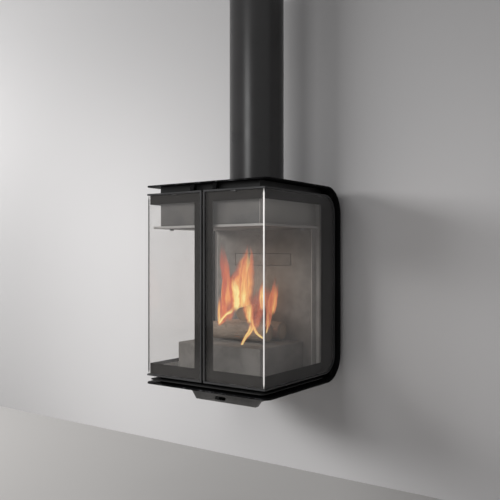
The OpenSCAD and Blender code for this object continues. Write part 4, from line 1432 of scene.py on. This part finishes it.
def rounded_path(corners: np.ndarray, radii: Sequence[float], step: float) -> np.ndarray:
    """Points along a closed path of straight runs joined by rounded corners.

    A corner of radius r leaves its run r before the corner and joins the next r after
    it, along a quadratic curve whose middle control point is the corner itself.

    Args:
        corners: The corners, of shape (n, 3).
        radii: The radius at each corner.
        step: The wanted distance between points.

    Returns:
        The points, of shape (m, 3), without the first one repeated.
    """
    parts: List[np.ndarray] = []
    count = len(corners)
    t = np.linspace(0.0, 1.0, 7)[:, None]
    for k in range(count):
        before, here, after = corners[k - 1], corners[k], corners[(k + 1) % count]
        into, onto = unit(here - before), unit(after - here)
        start, end = here - into * radii[k], here + onto * radii[k]
        parts.append((1 - t) ** 2 * start + 2 * t * (1 - t) * here + t**2 * end)
        following = after - onto * radii[(k + 1) % count]
        runs = max(2, int(np.linalg.norm(following - end) / step))
        s = np.linspace(0.0, 1.0, runs, endpoint=False)[1:, None]
        parts.append(end + (following - end) * s)
    return np.concatenate(parts, 0)


# The studio


@dataclass(frozen=True)
class SoftLamp:
    """A rectangular lamp: its place, its width and height in metres, and its power in watts."""

    name: str
    at: Point
    size: Plane
    watts: float
    glossy: bool = True

    def build(self, aim: Point) -> None:
        """Adds the lamp to the scene.

        Args:
            aim: The point that it is turned to.
        """
        lamp = bpy.data.lights.new(self.name, "AREA")
        lamp.energy = self.watts
        lamp.shape = "RECTANGLE"
        lamp.size, lamp.size_y = self.size
        holder = put(self.name, lamp)
        holder.location = self.at
        holder.rotation_mode = "QUATERNION"
        holder.rotation_quaternion = (Vector(aim) - Vector(self.at)).to_track_quat("-Z", "Y")
        holder.visible_glossy = self.glossy


@dataclass
class Studio:
    """The pale room with painted shade on its wall, its soft lights and the camera."""

    floor_z: float = -0.72
    wall_y: float = 0.004
    wall_height: float = 4.5
    floor_depth: float = 5.0
    half_width: float = 4.0
    aim: Point = (0.0, -0.2, 0.0)
    lamps: Sequence[SoftLamp] = (
        SoftLamp("front", (-0.25, -3.3, 1.1), (1.0, 1.0), 17.0),
        SoftLamp("left", (-2.7, -2.0, 0.95), (3.0, 0.7), 96.0, glossy=False),
        SoftLamp("rear", (-1.4, 2.8, 1.4), (2.2, 2.2), 30.0),
    )
    soft: Colour = (0.15, 0.15, 0.154)
    pale: Colour = (0.50, 0.50, 0.50)
    camera_at: Point = (1.458, -2.2645, 0.1048)
    yaw: float = 35.45
    lens: float = 49.54
    sensor: float = 36.0
    shift_y: float = 0.0102
    clip: Plane = (0.05, 60.0)

    def build(self) -> None:
        """Sets the stage, the lamps, the world and the camera."""
        corner = (self.wall_y, self.floor_z)
        wall = self.sheet("wall", corner, (self.wall_y, self.floor_z + self.wall_height), WALL_PAINTED_SHADE)
        wall.visible_diffuse = wall.visible_shadow = False
        floor = self.sheet("floor", (-self.floor_depth, self.floor_z), corner, FLOOR_PLAIN)
        for lamp in self.lamps:
            lamp.build(self.aim)
        self.world()
        self.camera()

    def sheet(self, name: str, near: Plane, far: Plane, finish: Backdrop) -> bpy.types.Object:
        """One flat stage surface across the room.

        Args:
            name: The object's name.
            near: Y and Z of its near or lower edge.
            far: Y and Z of its far or upper edge.
            finish: Its finish.

        Returns:
            The stage object.
        """
        mesh = bpy.data.meshes.new(name)
        points = [(x, *edge) for edge in (near, far) for x in (-self.half_width, self.half_width)]
        mesh.from_pydata(points, [], [(0, 1, 3, 2)])
        mesh.materials.append(finish.material())
        return put(name, mesh)

    def world(self) -> None:
        """A soft grey surround that shows pale to the camera, in gloss and through glass."""
        world = bpy.data.worlds.new("soft_surround")
        bpy.context.scene.world = world
        sheet = NodeSheet(world)
        rays = ("Camera", "Glossy", "Transmission")
        direct, glossy, through = (sheet.make("LightPath", {}, f"Is {ray} Ray") for ray in rays)
        seen = direct.highest(glossy.highest(through))
        soft, pale = (sheet.make("Background", {"Color": colour}) for colour in (self.soft, self.pale))
        sheet.make("OutputWorld", {"Surface": sheet.blend(seen, soft, pale)})

    def camera(self) -> None:
        """A level camera that stands to the right in front of the stove, a little over its middle."""
        camera = bpy.data.cameras.new("camera")
        camera.lens = self.lens
        camera.sensor_width = self.sensor
        camera.shift_y = self.shift_y
        camera.clip_start, camera.clip_end = self.clip
        holder = put("camera", camera)
        holder.location = self.camera_at
        holder.rotation_euler = (math.radians(90.0), 0.0, math.radians(self.yaw))
        bpy.context.scene.camera = holder


def main() -> None:
    """Builds the stove's looks on the frame, then the studio."""
    logging.basicConfig(level=logging.INFO, format="%(name)s: %(message)s")
    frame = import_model()
    shop = Workshop(frame["nodes"], frame["record"])
    doors = [DoorLeaf(shop, side=side) for side in Side]
    stove = (Casing(shop), FireChamber(shop), Hearth(shop), Fire(), Flue(shop), AirSupply(shop), *doors)
    for assembly in (*stove, Studio()):
        LOG.info("building %s", type(assembly).__name__)
        assembly.build()
    bpy.context.scene.view_settings.view_transform = "Standard"


if __name__ == "__main__":
    main()
